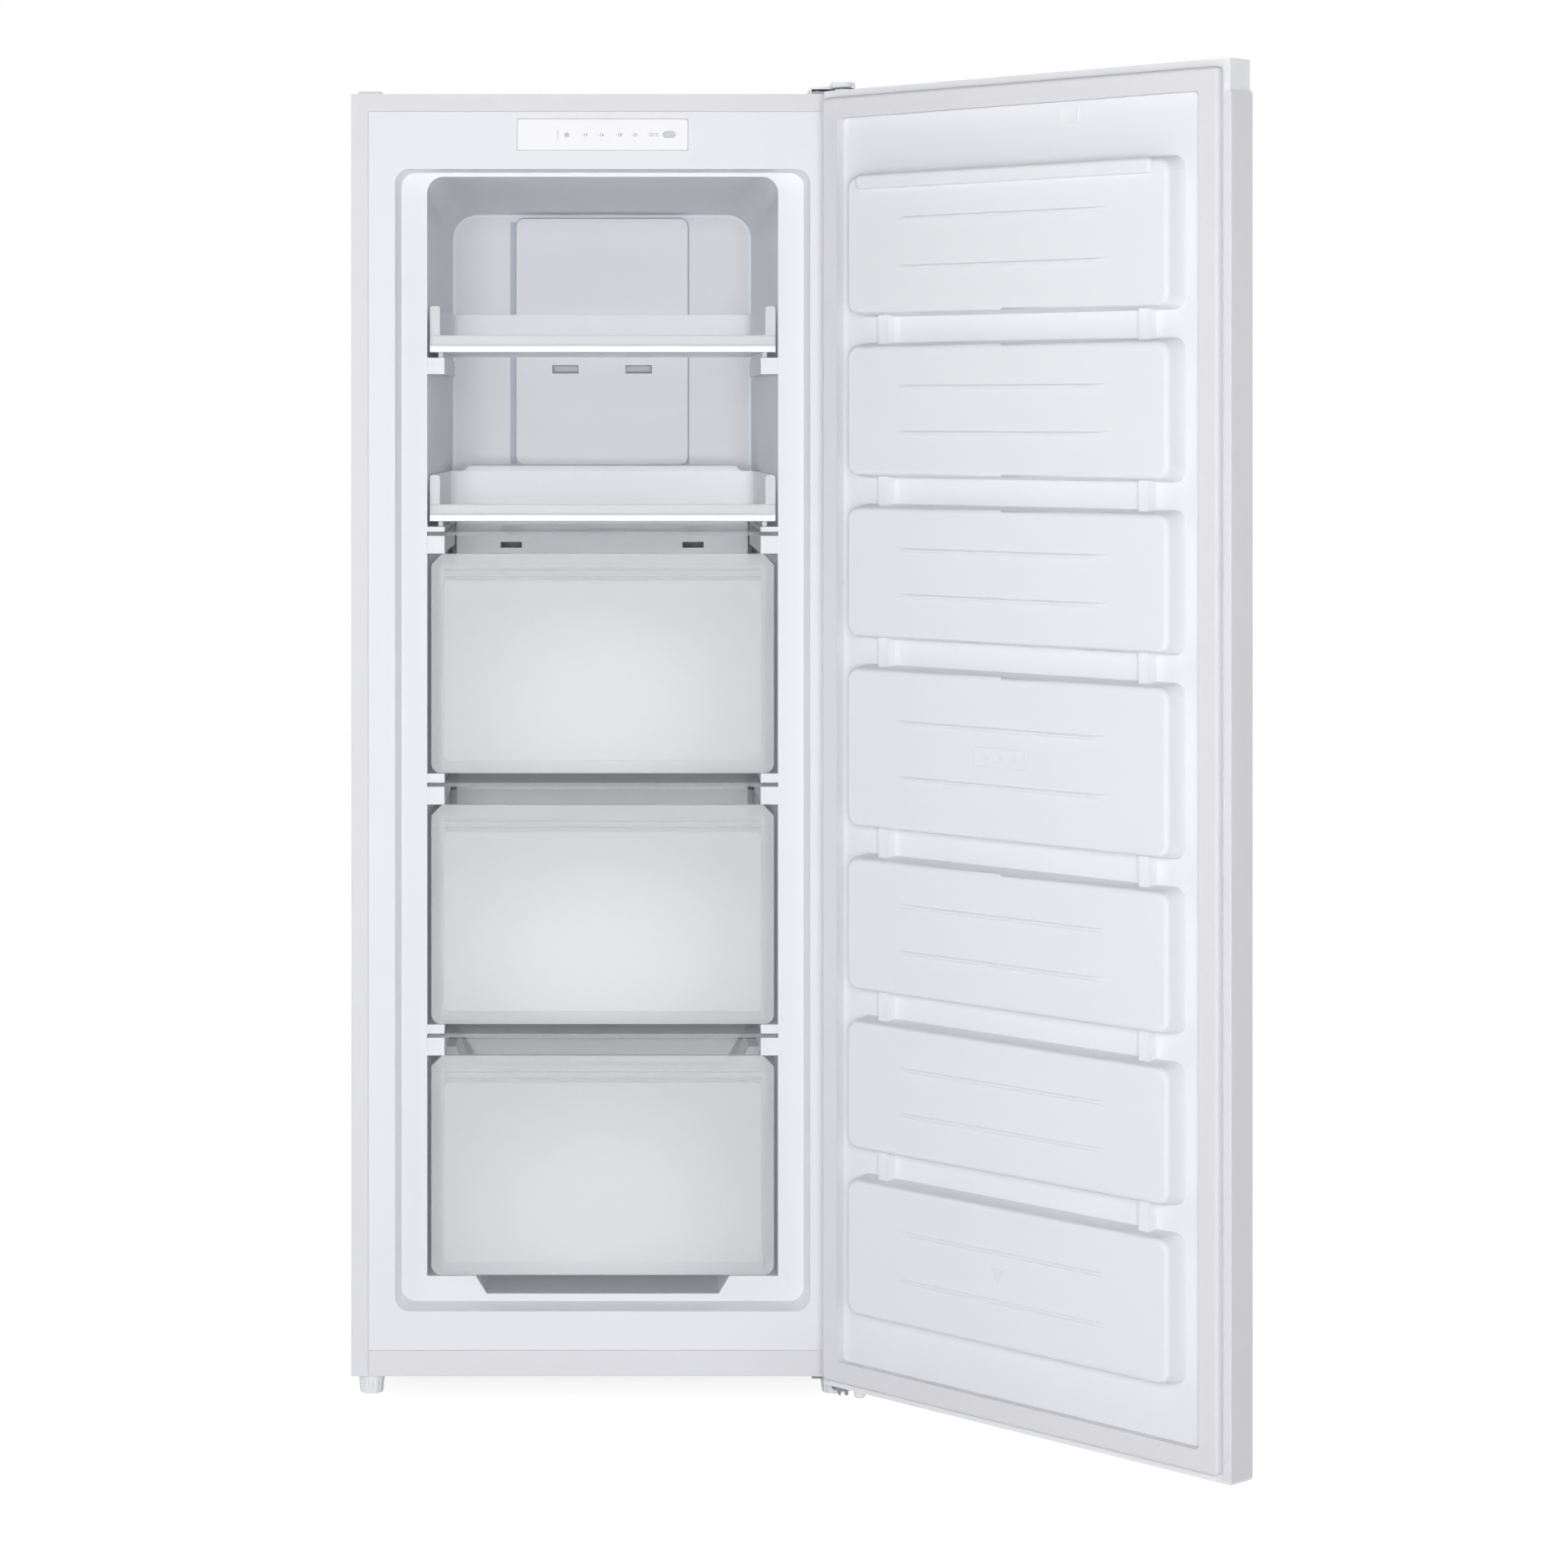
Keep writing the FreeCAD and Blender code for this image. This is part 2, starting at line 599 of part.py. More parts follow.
# ---- controls --------------------------------------------------------------------------------
def button_section(grow):
    half_w = BUTTON_W / 2 + grow
    half_h = BUTTON_H / 2 + grow
    points = rectangle(BUTTON_X - half_w, BUTTON_X + half_w, PANEL_Z - half_h, PANEL_Z + half_h)
    return points, [half_h - 0.01] * 4


def make_control_panel():
    z0 = PANEL_Z - PANEL_H / 2
    z1 = PANEL_Z + PANEL_H / 2
    plate = slab_y(PANEL_W / 2, z0, z1, -PANEL_STAND, PANEL_T - PANEL_STAND, PANEL_R)
    plate = round_edges(plate, 0.5, lambda edge: edge.CenterOfMass.y < 0.01 - PANEL_STAND)
    points, radii = button_section(RUN)
    cuts = [prism_y(points, -5, 10, radii)]
    for x in LIGHT_XS:
        cuts.append(rod(0.8, V(x, -5, PANEL_Z - 7), BACK, 15))
    posts = []
    for x in (-BOARD_W / 2 + 6, BOARD_W / 2 - 6):
        for z in (PANEL_Z - BOARD_H / 2 + 4, PANEL_Z + BOARD_H / 2 - 4):
            posts.append(rod(2.5, V(x, 0, z), BACK, BOARD_Y))
    return join([plate.cut(cuts)] + posts)


def make_control_button():
    points, radii = button_section(0)
    cap = prism_y(points, -PANEL_STAND - BUTTON_STAND, PANEL_T - PANEL_STAND + 1, radii)
    stem = rod(1.5, V(BUTTON_X, 0, PANEL_Z), BACK, BOARD_Y - 2 - BUTTON_TRAVEL - RUN)
    return join([cap, stem])


def make_control_board():
    """Circuit board with a press switch, five small lamps and a connector."""
    board = box(-BOARD_W / 2, BOARD_W / 2, BOARD_Y, BOARD_Y + BOARD_T,
                PANEL_Z - BOARD_H / 2, PANEL_Z + BOARD_H / 2)
    fittings = [box(BUTTON_X - 3, BUTTON_X + 3, BOARD_Y - 2, BOARD_Y, PANEL_Z - 3, PANEL_Z + 3),
                box(-60, -40, BOARD_Y + BOARD_T, BOARD_Y + BOARD_T + 5, PANEL_Z - 4, PANEL_Z + 4)]
    for x in LIGHT_XS:
        fittings.append(rod(1.2, V(x, BOARD_Y - 3, PANEL_Z - 7), BACK, 3))
    return join([board] + fittings)


# ---- cavity fittings -------------------------------------------------------------------------
def make_shelf(index):
    """Clear dividing shelf above a drawer, held between the liner's rails."""
    z = DRAWER_BOTTOMS[index] + DRAWER_H + SHELF_RISE
    front = wall_half(FRONTS_Y) - RUN * 3
    back = wall_half(SHELF_BACK) - RUN * 3
    points = [(-front, FRONTS_Y), (front, FRONTS_Y), (back, SHELF_BACK), (-back, SHELF_BACK)]
    return prism_z(points, z, z + SHELF_T, [3] * 4)


def make_tray(index):
    """Shallow pull-out tray: low front lip, tall sides and back, rib runners underneath."""
    z = TRAY_BOTTOMS[index]
    back = TRAY_BACKS[index]
    body_front = FRONTS_Y + 4
    front_half = wall_half(body_front) - WALL_GAP
    back_half = wall_half(back) - WALL_GAP
    shape = [(-front_half, body_front), (front_half, body_front), (back_half, back), (-back_half, back)]
    inner = [(-front_half + TRAY_T, body_front - 5), (front_half - TRAY_T, body_front - 5),
             (back_half - TRAY_T, back - TRAY_T), (-back_half + TRAY_T, back - TRAY_T)]
    body = prism_z(shape, z, z + TRAY_H, [0, 0, 12, 12])
    body = body.cut(prism_z(inner, z + TRAY_T, z + TRAY_H + 1, [0, 0, 10, 10]))
    slope = [(body_front - 1, z + TRAY_LIP_H + 8), (body_front + 34, z + TRAY_H + 0.01),
             (body_front - 1, z + TRAY_H + 0.01)]
    body = body.cut(prism_x(slope, -HALF, HALF))
    lip = [(FRONTS_Y + 2.5, z), (FRONTS_Y, z + 1.5), (FRONTS_Y, z + 6.5), (FRONTS_Y + 3.6, z + 8.2),
           (FRONTS_Y + 0.6, z + TRAY_LIP_H - 1), (FRONTS_Y + 1.4, z + TRAY_LIP_H),
           (FRONTS_Y + 6.5, z + TRAY_LIP_H), (FRONTS_Y + 6.5, z)]
    pieces = [body, prism_x(lip, -TRAY_HALF, TRAY_HALF)]
    for side in SIDES:
        post_in = side * (front_half - TRAY_POST_W)
        post = [(post_in, z), (side * front_half, z), (side * front_half, z + TRAY_H), (post_in, z + TRAY_H)]
        pieces.append(prism_y(post, FRONTS_Y + 3, FRONTS_Y + 6.5, [0, 0, 3, 3]))
        rib = [(side * (RAIL_HALF + 2), body_front + 4), (side * (RAIL_HALF + 7), body_front + 4),
               (side * (RAIL_HALF + 7), RAIL_BACK - 4), (side * (RAIL_HALF + 2), RAIL_BACK - 4)]
        pieces.append(prism_z(rib, z - TRAY_RIB_H, z))
    return join(pieces)


def make_drawer_tub(index):
    """Clear tub: drafted sides, a raked back, a rim and ribs under the floor's front."""
    z = DRAWER_BOTTOMS[index]
    back = TUB_BACKS[index]
    front = FRONTS_Y + FRONT_T
    top = z + TUB_H

    def section(y, grow, z0, z1):
        points = [V(-TUB_FOOT_HALF + grow, y, z0), V(TUB_FOOT_HALF - grow, y, z0),
                  V(TUB_TOP_HALF - grow, y, z1), V(-TUB_TOP_HALF + grow, y, z1)]
        corner = max(TUB_R - grow, 1)
        return outline(points, [corner, corner, 0, 0])

    outer = Part.Face(section(front, 0, z, top)).extrude(BACK * (back - front))
    inner = Part.Face(section(front + TUB_T, TUB_T, z + TUB_T, top + 1)).extrude(
        BACK * (back - front - TUB_T * 2))
    rake = [(back - TUB_BACK_RAKE, z - 1), (back + 1, z - 1), (back + 1, top + 2), (back, top + 2)]
    inner_rake = [(y - TUB_T, height) for y, height in rake]
    tub = outer.cut(prism_x(rake, -HALF, HALF)).cut(inner.cut(prism_x(inner_rake, -HALF, HALF)))
    rim_outer = rectangle(-TUB_TOP_HALF - 1, TUB_TOP_HALF + 1, front, back)
    rim_inner = rectangle(-TUB_TOP_HALF + TUB_RIM, TUB_TOP_HALF - TUB_RIM, front + TUB_RIM, back - TUB_RIM)
    rim = prism_z(rim_outer, top - TUB_T, top).cut(prism_z(rim_inner, top - 5, top + 1))
    ribs = []
    for x in FLOOR_RIB_XS:
        for lean in SIDES:
            foot_x = x + lean * 9
            rib = [(foot_x - 0.8, z + TUB_T - 0.1), (foot_x + 0.8, z + TUB_T - 0.1),
                   (foot_x + 0.8 + lean * 3, z + 22), (foot_x - 0.8 + lean * 3, z + 22)]
            ribs.append(prism_y(rib, front + TUB_T - 0.1, front + TUB_T + 3))
    return join([tub, rim] + ribs)


def make_drawer_front(index):
    """Front panel: raised field, two grip grooves, round lower and chamfered upper corners."""
    z = DRAWER_BOTTOMS[index]
    top = z + DRAWER_H
    half = DRAWER_HALF
    points = [(-half, z), (half, z), (half, top - FRONT_CHAMFER), (half - FRONT_CHAMFER, top),
              (-half + FRONT_CHAMFER, top), (-half, top - FRONT_CHAMFER)]
    panel = prism_y(points, FRONTS_Y, FRONTS_Y + FRONT_T, [FRONT_R, FRONT_R, 3, 3, 3, 3])
    panel = round_edges(panel, 1.5, lambda edge: edge.CenterOfMass.y < FRONTS_Y + 0.01)
    hollow = slab_y(half - PANEL_MARGIN, z + PANEL_MARGIN, top - GRIP_DROP - GRIP_PITCH - 6,
                    FRONTS_Y + 3, FRONTS_Y + FRONT_T + 1, 6)
    cuts = [hollow]
    for drop in (GRIP_DROP, GRIP_DROP + GRIP_PITCH):
        groove = [(FRONTS_Y - 1, top - drop + 1.8), (FRONTS_Y + GRIP_DEPTH, top - drop + 0.6),
                  (FRONTS_Y + GRIP_DEPTH, top - drop - 0.6), (FRONTS_Y - 1, top - drop - 1.8)]
        cuts.append(prism_x(groove, -half + PANEL_MARGIN, half - PANEL_MARGIN))
    field = slab_y(half - PANEL_MARGIN, z + PANEL_MARGIN, top - GRIP_DROP - GRIP_PITCH - 3,
                   FRONTS_Y - PANEL_PROUD, FRONTS_Y + 1.5, 6)
    field = round_edges(field, 1.2, lambda edge: edge.CenterOfMass.y < FRONTS_Y - PANEL_PROUD + 0.01)
    return join([panel.cut(cuts), field])


# ---- cold air parts --------------------------------------------------------------------------
def make_duct_cover():
    front = CAVITY_BACK - DUCT_PROUD
    z0 = EVAP_COVER_TOP + SEAM
    shell = slab_y(DUCT_HALF, z0, DUCT_TOP, front, CAVITY_BACK - SEAM, 10)
    hollow = slab_y(DUCT_HALF - COVER_T, z0 + COVER_T, DUCT_TOP - COVER_T, front + COVER_T,
                    CAVITY_BACK + 1, 8)
    inlet = box(-DUCT_HALF + 20, DUCT_HALF - 20, front + COVER_T, CAVITY_BACK + 1, z0 - 1, z0 + 4)
    cuts = [hollow, inlet]
    width, height = DUCT_SLOT
    for side in SIDES:
        x = side * DUCT_SLOT_X
        cuts.append(box(x - width / 2, x + width / 2, front - 1, front + COVER_T + 1,
                        DUCT_SLOT_Z - height / 2, DUCT_SLOT_Z + height / 2))
    return shell.cut(cuts)


def evaporator_outline(grow):
    half = EVAP_COVER_HALF - grow
    z0 = EVAP_COVER_BOTTOM + grow
    z1 = EVAP_COVER_TOP - grow
    return [(-half + 28, z0), (half - 28, z0), (half, z0 + 46), (half, z1 - 14), (half - 14, z1),
            (-half + 14, z1), (-half, z1 - 14), (-half, z0 + 46)]


def make_evaporator_cover():
    radii = [8, 8, 14, 4, 4, 4, 4, 14]
    shell = prism_y(evaporator_outline(0), EVAP_COVER_Y, CAVITY_BACK - SEAM, radii)
    hollow = prism_y(evaporator_outline(COVER_T), EVAP_COVER_Y + COVER_T, CAVITY_BACK + 1, radii)
    outlet = box(-DUCT_HALF + 20, DUCT_HALF - 20, CAVITY_BACK - DUCT_PROUD + COVER_T, CAVITY_BACK + 1,
                 EVAP_COVER_TOP - 5, EVAP_COVER_TOP + 1)
    cuts = [hollow, outlet]
    width, height = EVAP_SLOT
    for side in SIDES:
        x = side * EVAP_SLOT_X
        for z in EVAP_SLOT_ZS:
            cuts.append(box(x - width / 2, x + width / 2, EVAP_COVER_Y - 1, EVAP_COVER_Y + COVER_T + 1,
                            z - height / 2, z + height / 2))
    for i in range(RETURN_SLOTS):
        x = (i - (RETURN_SLOTS - 1) / 2) * RETURN_PITCH
        cuts.append(box(x - 8, x + 8, EVAP_COVER_Y + 12, CAVITY_BACK - 20,
                        EVAP_COVER_BOTTOM - 1, EVAP_COVER_BOTTOM + COVER_T + 1))
    width, height = DRIP_SLOT
    cuts.append(box(-width / 2, width / 2, EVAP_COVER_Y - 1, EVAP_COVER_Y + COVER_T + 1,
                    DRIP_SLOT_Z - height / 2, DRIP_SLOT_Z + height / 2))
    return shell.cut(cuts)


def make_evaporator():
    """Fin-and-tube coil: thin fins on straight tubes with return bends, between two end plates."""
    y0 = EVAP_COVER_Y + 26
    y1 = CAVITY_BACK - 14
    y = (y0 + y1) / 2
    pieces = []
    rows = [COIL_Z0 + 40 + i * (COIL_Z1 - COIL_Z0 - 80) / (COIL_ROWS - 1) for i in range(COIL_ROWS)]
    for z in rows:
        pieces.append(rod(TUBE_R, V(-COIL_HALF + 6, y, z), RIGHT, COIL_HALF * 2 - 12))
    step = (COIL_HALF * 2 - 24) / (COIL_FINS - 1)
    for i in range(COIL_FINS):
        x = -COIL_HALF + 12 + i * step
        pieces.append(box(x - 0.3, x + 0.3, y0, y1, COIL_Z0, COIL_Z1))
    for side in SIDES:
        x = side * (COIL_HALF - 6)
        pieces.append(box(min(x, x + side * 1.2), max(x, x + side * 1.2), y0, CAVITY_BACK - SEAM,
                          COIL_Z0 - 30, COIL_Z1))
    for i in range(COIL_ROWS - 1):
        side = SIDES[i % 2]
        x = side * (COIL_HALF - 5)
        height = rows[i + 1] - rows[i]
        pieces.append(rod(TUBE_R, V(x + side * 8, y, rows[i] - TUBE_R), UP, height + TUBE_R * 2))
        for z in (rows[i], rows[i + 1]):
            pieces.append(rod(TUBE_R, V(x, y, z), RIGHT * side, 8))
    return join(pieces)


def make_defrost_heater():
    """Heater rod held by the evaporator's end plates."""
    length = COIL_HALF * 2 - 12 - SEAM * 2
    y = (EVAP_COVER_Y + 26 + CAVITY_BACK - 14) / 2
    return rod(5, V(-length / 2, y, COIL_Z0 - 15), RIGHT, length)


def make_fan_motor():
    body = rod(MOTOR_R, V(0, MOTOR_Y, FAN_Z), BACK, CAVITY_BACK - SEAM - MOTOR_Y)
    shaft = rod(FAN_SHAFT_R, V(0, FAN_Y + 2, FAN_Z), BACK, MOTOR_Y - FAN_Y)
    bracket = box(-40, 40, CAVITY_BACK - SEAM - 3, CAVITY_BACK - SEAM, FAN_Z - 12, FAN_Z + 12)
    return join([body, shaft, bracket])


def make_fan_rotor():
    """Axial rotor: hub with pitched blades."""
    hub = rod(FAN_HUB_R, V(0, FAN_Y, FAN_Z), BACK, FAN_DEPTH)
    pieces = [hub]
    for i in range(FAN_BLADES):
        blade = Part.makeLoft([
            outline([V(FAN_HUB_R - 3, FAN_Y + 1, -8 + FAN_Z), V(FAN_HUB_R - 3, FAN_Y + 3, -8 + FAN_Z),
                     V(FAN_HUB_R - 3, FAN_Y + FAN_DEPTH - 1, 8 + FAN_Z),
                     V(FAN_HUB_R - 3, FAN_Y + FAN_DEPTH - 3, 8 + FAN_Z)], [0] * 4),
            outline([V(FAN_R, FAN_Y + 4, -14 + FAN_Z), V(FAN_R, FAN_Y + 5.6, -14 + FAN_Z),
                     V(FAN_R, FAN_Y + FAN_DEPTH - 4, 14 + FAN_Z),
                     V(FAN_R, FAN_Y + FAN_DEPTH - 5.6, 14 + FAN_Z)], [0] * 4),
        ], True, True)
        blade.rotate(V(0, 0, FAN_Z), BACK, 360.0 * i / FAN_BLADES)
        pieces.append(blade)
    bore = rod(FAN_SHAFT_R + FIT, V(0, FAN_Y - 1, FAN_Z), BACK, FAN_DEPTH + 2)
    return join(pieces).cut(bore)


# ---- machine compartment -----------------------------------------------------------------------
def make_machine_panel():
    """Bent sheet between the insulation and the machine compartment."""
    half = INNER_HALF - SEAM
    section = [(MACHINE_Y, PLATE_T), (MACHINE_Y + SHEET, PLATE_T), (MACHINE_Y + SHEET, MACHINE_TOP),
               (CABINET_D, MACHINE_TOP), (CABINET_D, MACHINE_TOP + SHEET),
               (MACHINE_Y, MACHINE_TOP + SHEET)]
    drain = rod(DRAIN_R + SEAM, V(DRAIN_X, COMPRESSOR_Y, MACHINE_TOP - 5), UP, 12)
    return prism_x(section, -half, half).cut(drain)


def make_compressor_tray():
    half = INNER_HALF - SEAM
    tray = box(-half, half, MACHINE_Y, CABINET_D, 0, PLATE_T)
    front_lip = box(-half, half, MACHINE_Y + SHEET + SEAM, MACHINE_Y + SHEET * 2 + SEAM, 0, 16)
    studs = []
    for x in (COMPRESSOR_X - MOUNT_X, COMPRESSOR_X + MOUNT_X):
        for y in (COMPRESSOR_Y - MOUNT_Y, COMPRESSOR_Y + MOUNT_Y):
            studs.append(rod(STUD_R, V(x, y, 0), UP, PLATE_T + MOUNT_H + 8))
    return join([tray, front_lip] + studs)


def make_compressor_mounts():
    """Four rubber mounts, waisted rings round the tray's studs."""
    mounts = []
    for x in (COMPRESSOR_X - MOUNT_X, COMPRESSOR_X + MOUNT_X):
        for y in (COMPRESSOR_Y - MOUNT_Y, COMPRESSOR_Y + MOUNT_Y):
            bore = STUD_R + SCREW_FIT
            z0 = PLATE_T
            profile = [(bore, z0), (MOUNT_R, z0), (MOUNT_R, z0 + 6), (MOUNT_R - 2.5, z0 + MOUNT_H / 2),
                       (MOUNT_R, z0 + MOUNT_H - 6), (MOUNT_R, z0 + MOUNT_H), (bore, z0 + MOUNT_H)]
            mounts.append(turned(profile, x, y))
    return Part.makeCompound(mounts)


def make_compressor():
    """Hermetic pot with a weld seam, base plate, terminal box and pipe stubs."""
    z0 = COMPRESSOR_Z0
    z1 = COMPRESSOR_Z0 + COMPRESSOR_H
    radius = COMPRESSOR_R
    profile = [(0, z0), (radius * 0.6, z0), (radius * 0.9, z0 + 12), (radius, z0 + 30),
               (radius, z0 + 74), (radius + 4, z0 + 74), (radius + 4, z0 + 79), (radius - 2, z0 + 79),
               (radius - 4, z1 - 28), (radius * 0.72, z1 - 8), (radius * 0.4, z1), (0, z1)]
    pot = turned(profile, COMPRESSOR_X, COMPRESSOR_Y)
    base_top = PLATE_T + MOUNT_H + 3
    base = prism_z(rectangle(COMPRESSOR_X - MOUNT_X - 14, COMPRESSOR_X + MOUNT_X + 14,
                             COMPRESSOR_Y - MOUNT_Y - 14, COMPRESSOR_Y + MOUNT_Y + 14),
                   base_top - 3, base_top, [14] * 4)
    holes = []
    for x in (COMPRESSOR_X - MOUNT_X, COMPRESSOR_X + MOUNT_X):
        for y in (COMPRESSOR_Y - MOUNT_Y, COMPRESSOR_Y + MOUNT_Y):
            holes.append(rod(STUD_R + SCREW_FIT, V(x, y, 0), UP, base_top + 1))
    saddle = rod(radius * 0.55, V(COMPRESSOR_X, COMPRESSOR_Y, base_top - 3), UP, z0 - base_top + 5)
    terminal = box(COMPRESSOR_X + radius - 8, COMPRESSOR_X + radius + 34, COMPRESSOR_Y - 20,
                   COMPRESSOR_Y + 20, z0 + 26, z0 + 68)
    stub = rod(TUBE_R, V(COMPRESSOR_X - radius - 14, COMPRESSOR_Y, z0 + 56), RIGHT, 20)
    return join([pot, base.cut(holes), saddle, terminal, stub])


def make_refrigerant_pipe():
    """Discharge pipe from the compressor to the filter drier and up to the condenser."""
    x = COMPRESSOR_X - COMPRESSOR_R - 14 - SEAM
    z = COMPRESSOR_Z0 + 56
    pipe = bent_tube(TUBE_R, [(x, COMPRESSOR_Y, z), (x - 46, COMPRESSOR_Y, z), (x - 46, COMPRESSOR_Y, z + 90),
                              (x - 46, CABINET_D - 30, z + 90), (x - 110, CABINET_D - 30, z + 90)], 14)
    drier = rod(10, V(x - 196, CABINET_D - 30, z + 90), RIGHT, 88)
    return join([pipe, drier])


def make_evaporation_pan():
    z = COMPRESSOR_Z0 + COMPRESSOR_H
    x = COMPRESSOR_X
    outer = prism_z(rectangle(x - PAN_W / 2, x + PAN_W / 2, COMPRESSOR_Y - PAN_D / 2,
                              COMPRESSOR_Y + PAN_D / 2), z, z + PAN_H, [10] * 4)
    inner = prism_z(rectangle(x - PAN_W / 2 + PAN_T, x + PAN_W / 2 - PAN_T,
                              COMPRESSOR_Y - PAN_D / 2 + PAN_T, COMPRESSOR_Y + PAN_D / 2 - PAN_T),
                    z + PAN_T, z + PAN_H + 1, [8] * 4)
    return outer.cut(inner)


def make_drain_tube():
    """Tube from the liner's hump down to just above the evaporation pan."""
    z0 = COMPRESSOR_Z0 + COMPRESSOR_H + PAN_H + 8
    z1 = HUMP_TOP + 1.5
    tube = rod(DRAIN_R, V(DRAIN_X, COMPRESSOR_Y, z0), UP, z1 - z0)
    collar = rod(DRAIN_R + 4, V(DRAIN_X, COMPRESSOR_Y, HUMP_TOP + SEAM), UP, 1.2)
    bore = rod(DRAIN_BORE_R, V(DRAIN_X, COMPRESSOR_Y, z0 - 1), UP, z1 - z0 + 2)
    return join([tube, collar]).cut(bore)


def make_condenser_coil():
    """Serpentine tube bonded to the back panel."""
    y = BACK_PANEL_Y - CONDENSER_R - SEAM / 3
    bend = CONDENSER_PITCH / 2
    points = []
    for i in range(CONDENSER_RUNS):
        x = (i - (CONDENSER_RUNS - 1) / 2) * CONDENSER_PITCH
        ends = (CONDENSER_Z0, CONDENSER_Z1)
        if i % 2:
            ends = (CONDENSER_Z1, CONDENSER_Z0)
        points.append((x, y, ends[0]))
        points.append((x, y, ends[1]))
    return bent_tube(CONDENSER_R, points, bend - 0.01)


# ---- hinges ----------------------------------------------------------------------------------
def arm_plan(grow):
    """Plan of a hinge arm: a strap with a round nose about the pin."""
    half = HINGE_NOSE_R + grow
    back = HINGE_STEP_Y + HINGE_STEP_D
    return rectangle(PIN_X - half, PIN_X + half, PIN_Y - half, back), [half - 0.01, half - 0.01, 0, 0]


def make_hinge(face, way, gap):
    """Bracket on the cabinet's face at height face, with its arm gap beyond the door and its pin.

    way is +1 for the upper hinge and -1 for the lower one."""
    def span(a, b):
        return min(face + way * a, face + way * b), max(face + way * a, face + way * b)

    base_z = span(0, HINGE_T)
    arm_z = span(gap, gap + HINGE_T)
    riser_z = span(0, gap + HINGE_T)
    right = PIN_X + HINGE_NOSE_R
    base = prism_z(rectangle(HINGE_LEFT, right, HINGE_STEP_Y, HINGE_BACK), base_z[0], base_z[1],
                   [0, 0, 4, 4])
    plan, radii = arm_plan(0)
    arm = prism_z(plan, arm_z[0], arm_z[1], radii)
    riser = box(PIN_X - HINGE_NOSE_R, right, HINGE_STEP_Y, HINGE_STEP_Y + HINGE_STEP_D,
                riser_z[0], riser_z[1])
    pin_z = span(-PIN_GRIP, gap + 1)
    pin = rod(PIN_R, V(PIN_X, PIN_Y, pin_z[0]), UP, pin_z[1] - pin_z[0])
    holes = [rod(HINGE_SCREW_R + SCREW_FIT, V(x, y, base_z[0] - 1), UP, HINGE_T + 2)
             for x, y in HINGE_SCREWS]
    solids = [arm, riser, pin]
    if way < 0:
        holes.append(rod(LEVEL_STUD_R + SCREW_FIT, V(FOOT_X, FOOT_Y, base_z[0] - 1), UP, HINGE_T + 2))
        for x0, x1 in HINGE_LUGS:
            solids.append(box(PIN_X + x0, PIN_X + x1, PIN_Y - HINGE_LUG_REACH, PIN_Y + HINGE_LUG_REACH,
                              arm_z[0] - HINGE_LUG_H, arm_z[0] + 1))
    return join([base.cut(holes)] + solids)


def make_upper_hinge_cover():
    """Moulded cover over the upper bracket, its arm and its screw heads."""
    top = CABINET_H + UPPER_RISE + HINGE_T + HINGE_COVER_T
    right = PIN_X + HINGE_NOSE_R
    plan, radii = arm_plan(1)
    inner_plan, inner_radii = arm_plan(RUN)
    left = HINGE_LEFT - 2.3
    section = [(left, CABINET_H), (left, CABINET_H + 6.4), (HINGE_LEFT + 24, top), (right + 1, top),
               (right + 1, CABINET_H)]
    block = prism_y(section, HINGE_STEP_Y, HINGE_BACK + 4, [0, 1, 6, 1, 0])
    arm = prism_z(plan, CABINET_H + UPPER_RISE + 1, top, radii)
    clear_base = box(HINGE_LEFT - RUN, right + RUN, HINGE_STEP_Y - 1, HINGE_BACK + RUN, CABINET_H - 1,
                     CABINET_H + HINGE_T + HINGE_HEAD_H + RUN)
    clear_arm = prism_z(inner_plan, CABINET_H - 1, CABINET_H + UPPER_RISE + HINGE_T + RUN, inner_radii)
    return join([block, arm]).cut([clear_base, clear_arm])


def make_hinge_screws():
    """Three screws down through the upper bracket and three up through the lower one."""
    screws = []
    for x, y in HINGE_SCREWS:
        head_z = CABINET_H + HINGE_T
        screws.append(join([rod(HINGE_HEAD_R, V(x, y, head_z), UP, HINGE_HEAD_H),
                            rod(HINGE_SCREW_R, V(x, y, head_z - 12), UP, 12)]))
        screws.append(join([rod(HINGE_HEAD_R, V(x, y, -HINGE_T - HINGE_HEAD_H), UP, HINGE_HEAD_H),
                            rod(HINGE_SCREW_R, V(x, y, -HINGE_T), UP, 12)]))
    return Part.makeCompound(screws)


# ---- door ------------------------------------------------------------------------------------
def make_door_skin():
    """Painted sheet folded round the front, both sides and the returns of the inner face."""
    inner = HALF - SHEET
    lip = HALF - SKIN_RETURN
    front = DOOR_FRONT
    section = [(-HALF, front), (HALF, front), (HALF, DOOR_FACE), (lip, DOOR_FACE),
               (lip, DOOR_FACE - SHEET), (inner, DOOR_FACE - SHEET), (inner, front + SHEET),
               (-inner, front + SHEET), (-inner, DOOR_FACE - SHEET), (-lip, DOOR_FACE - SHEET),
               (-lip, DOOR_FACE), (-HALF, DOOR_FACE)]
    radii = [2, 2, 1, 0, 0, 0, 1.2, 1.2, 0, 0, 0, 1]
    return swing(prism_z(section, FOOT_CAP_T, CABINET_H - CAP_H, radii))


def bush_seat(z, length):
    return rod(BUSH_R, V(PIN_X, PIN_Y, z), UP, length)


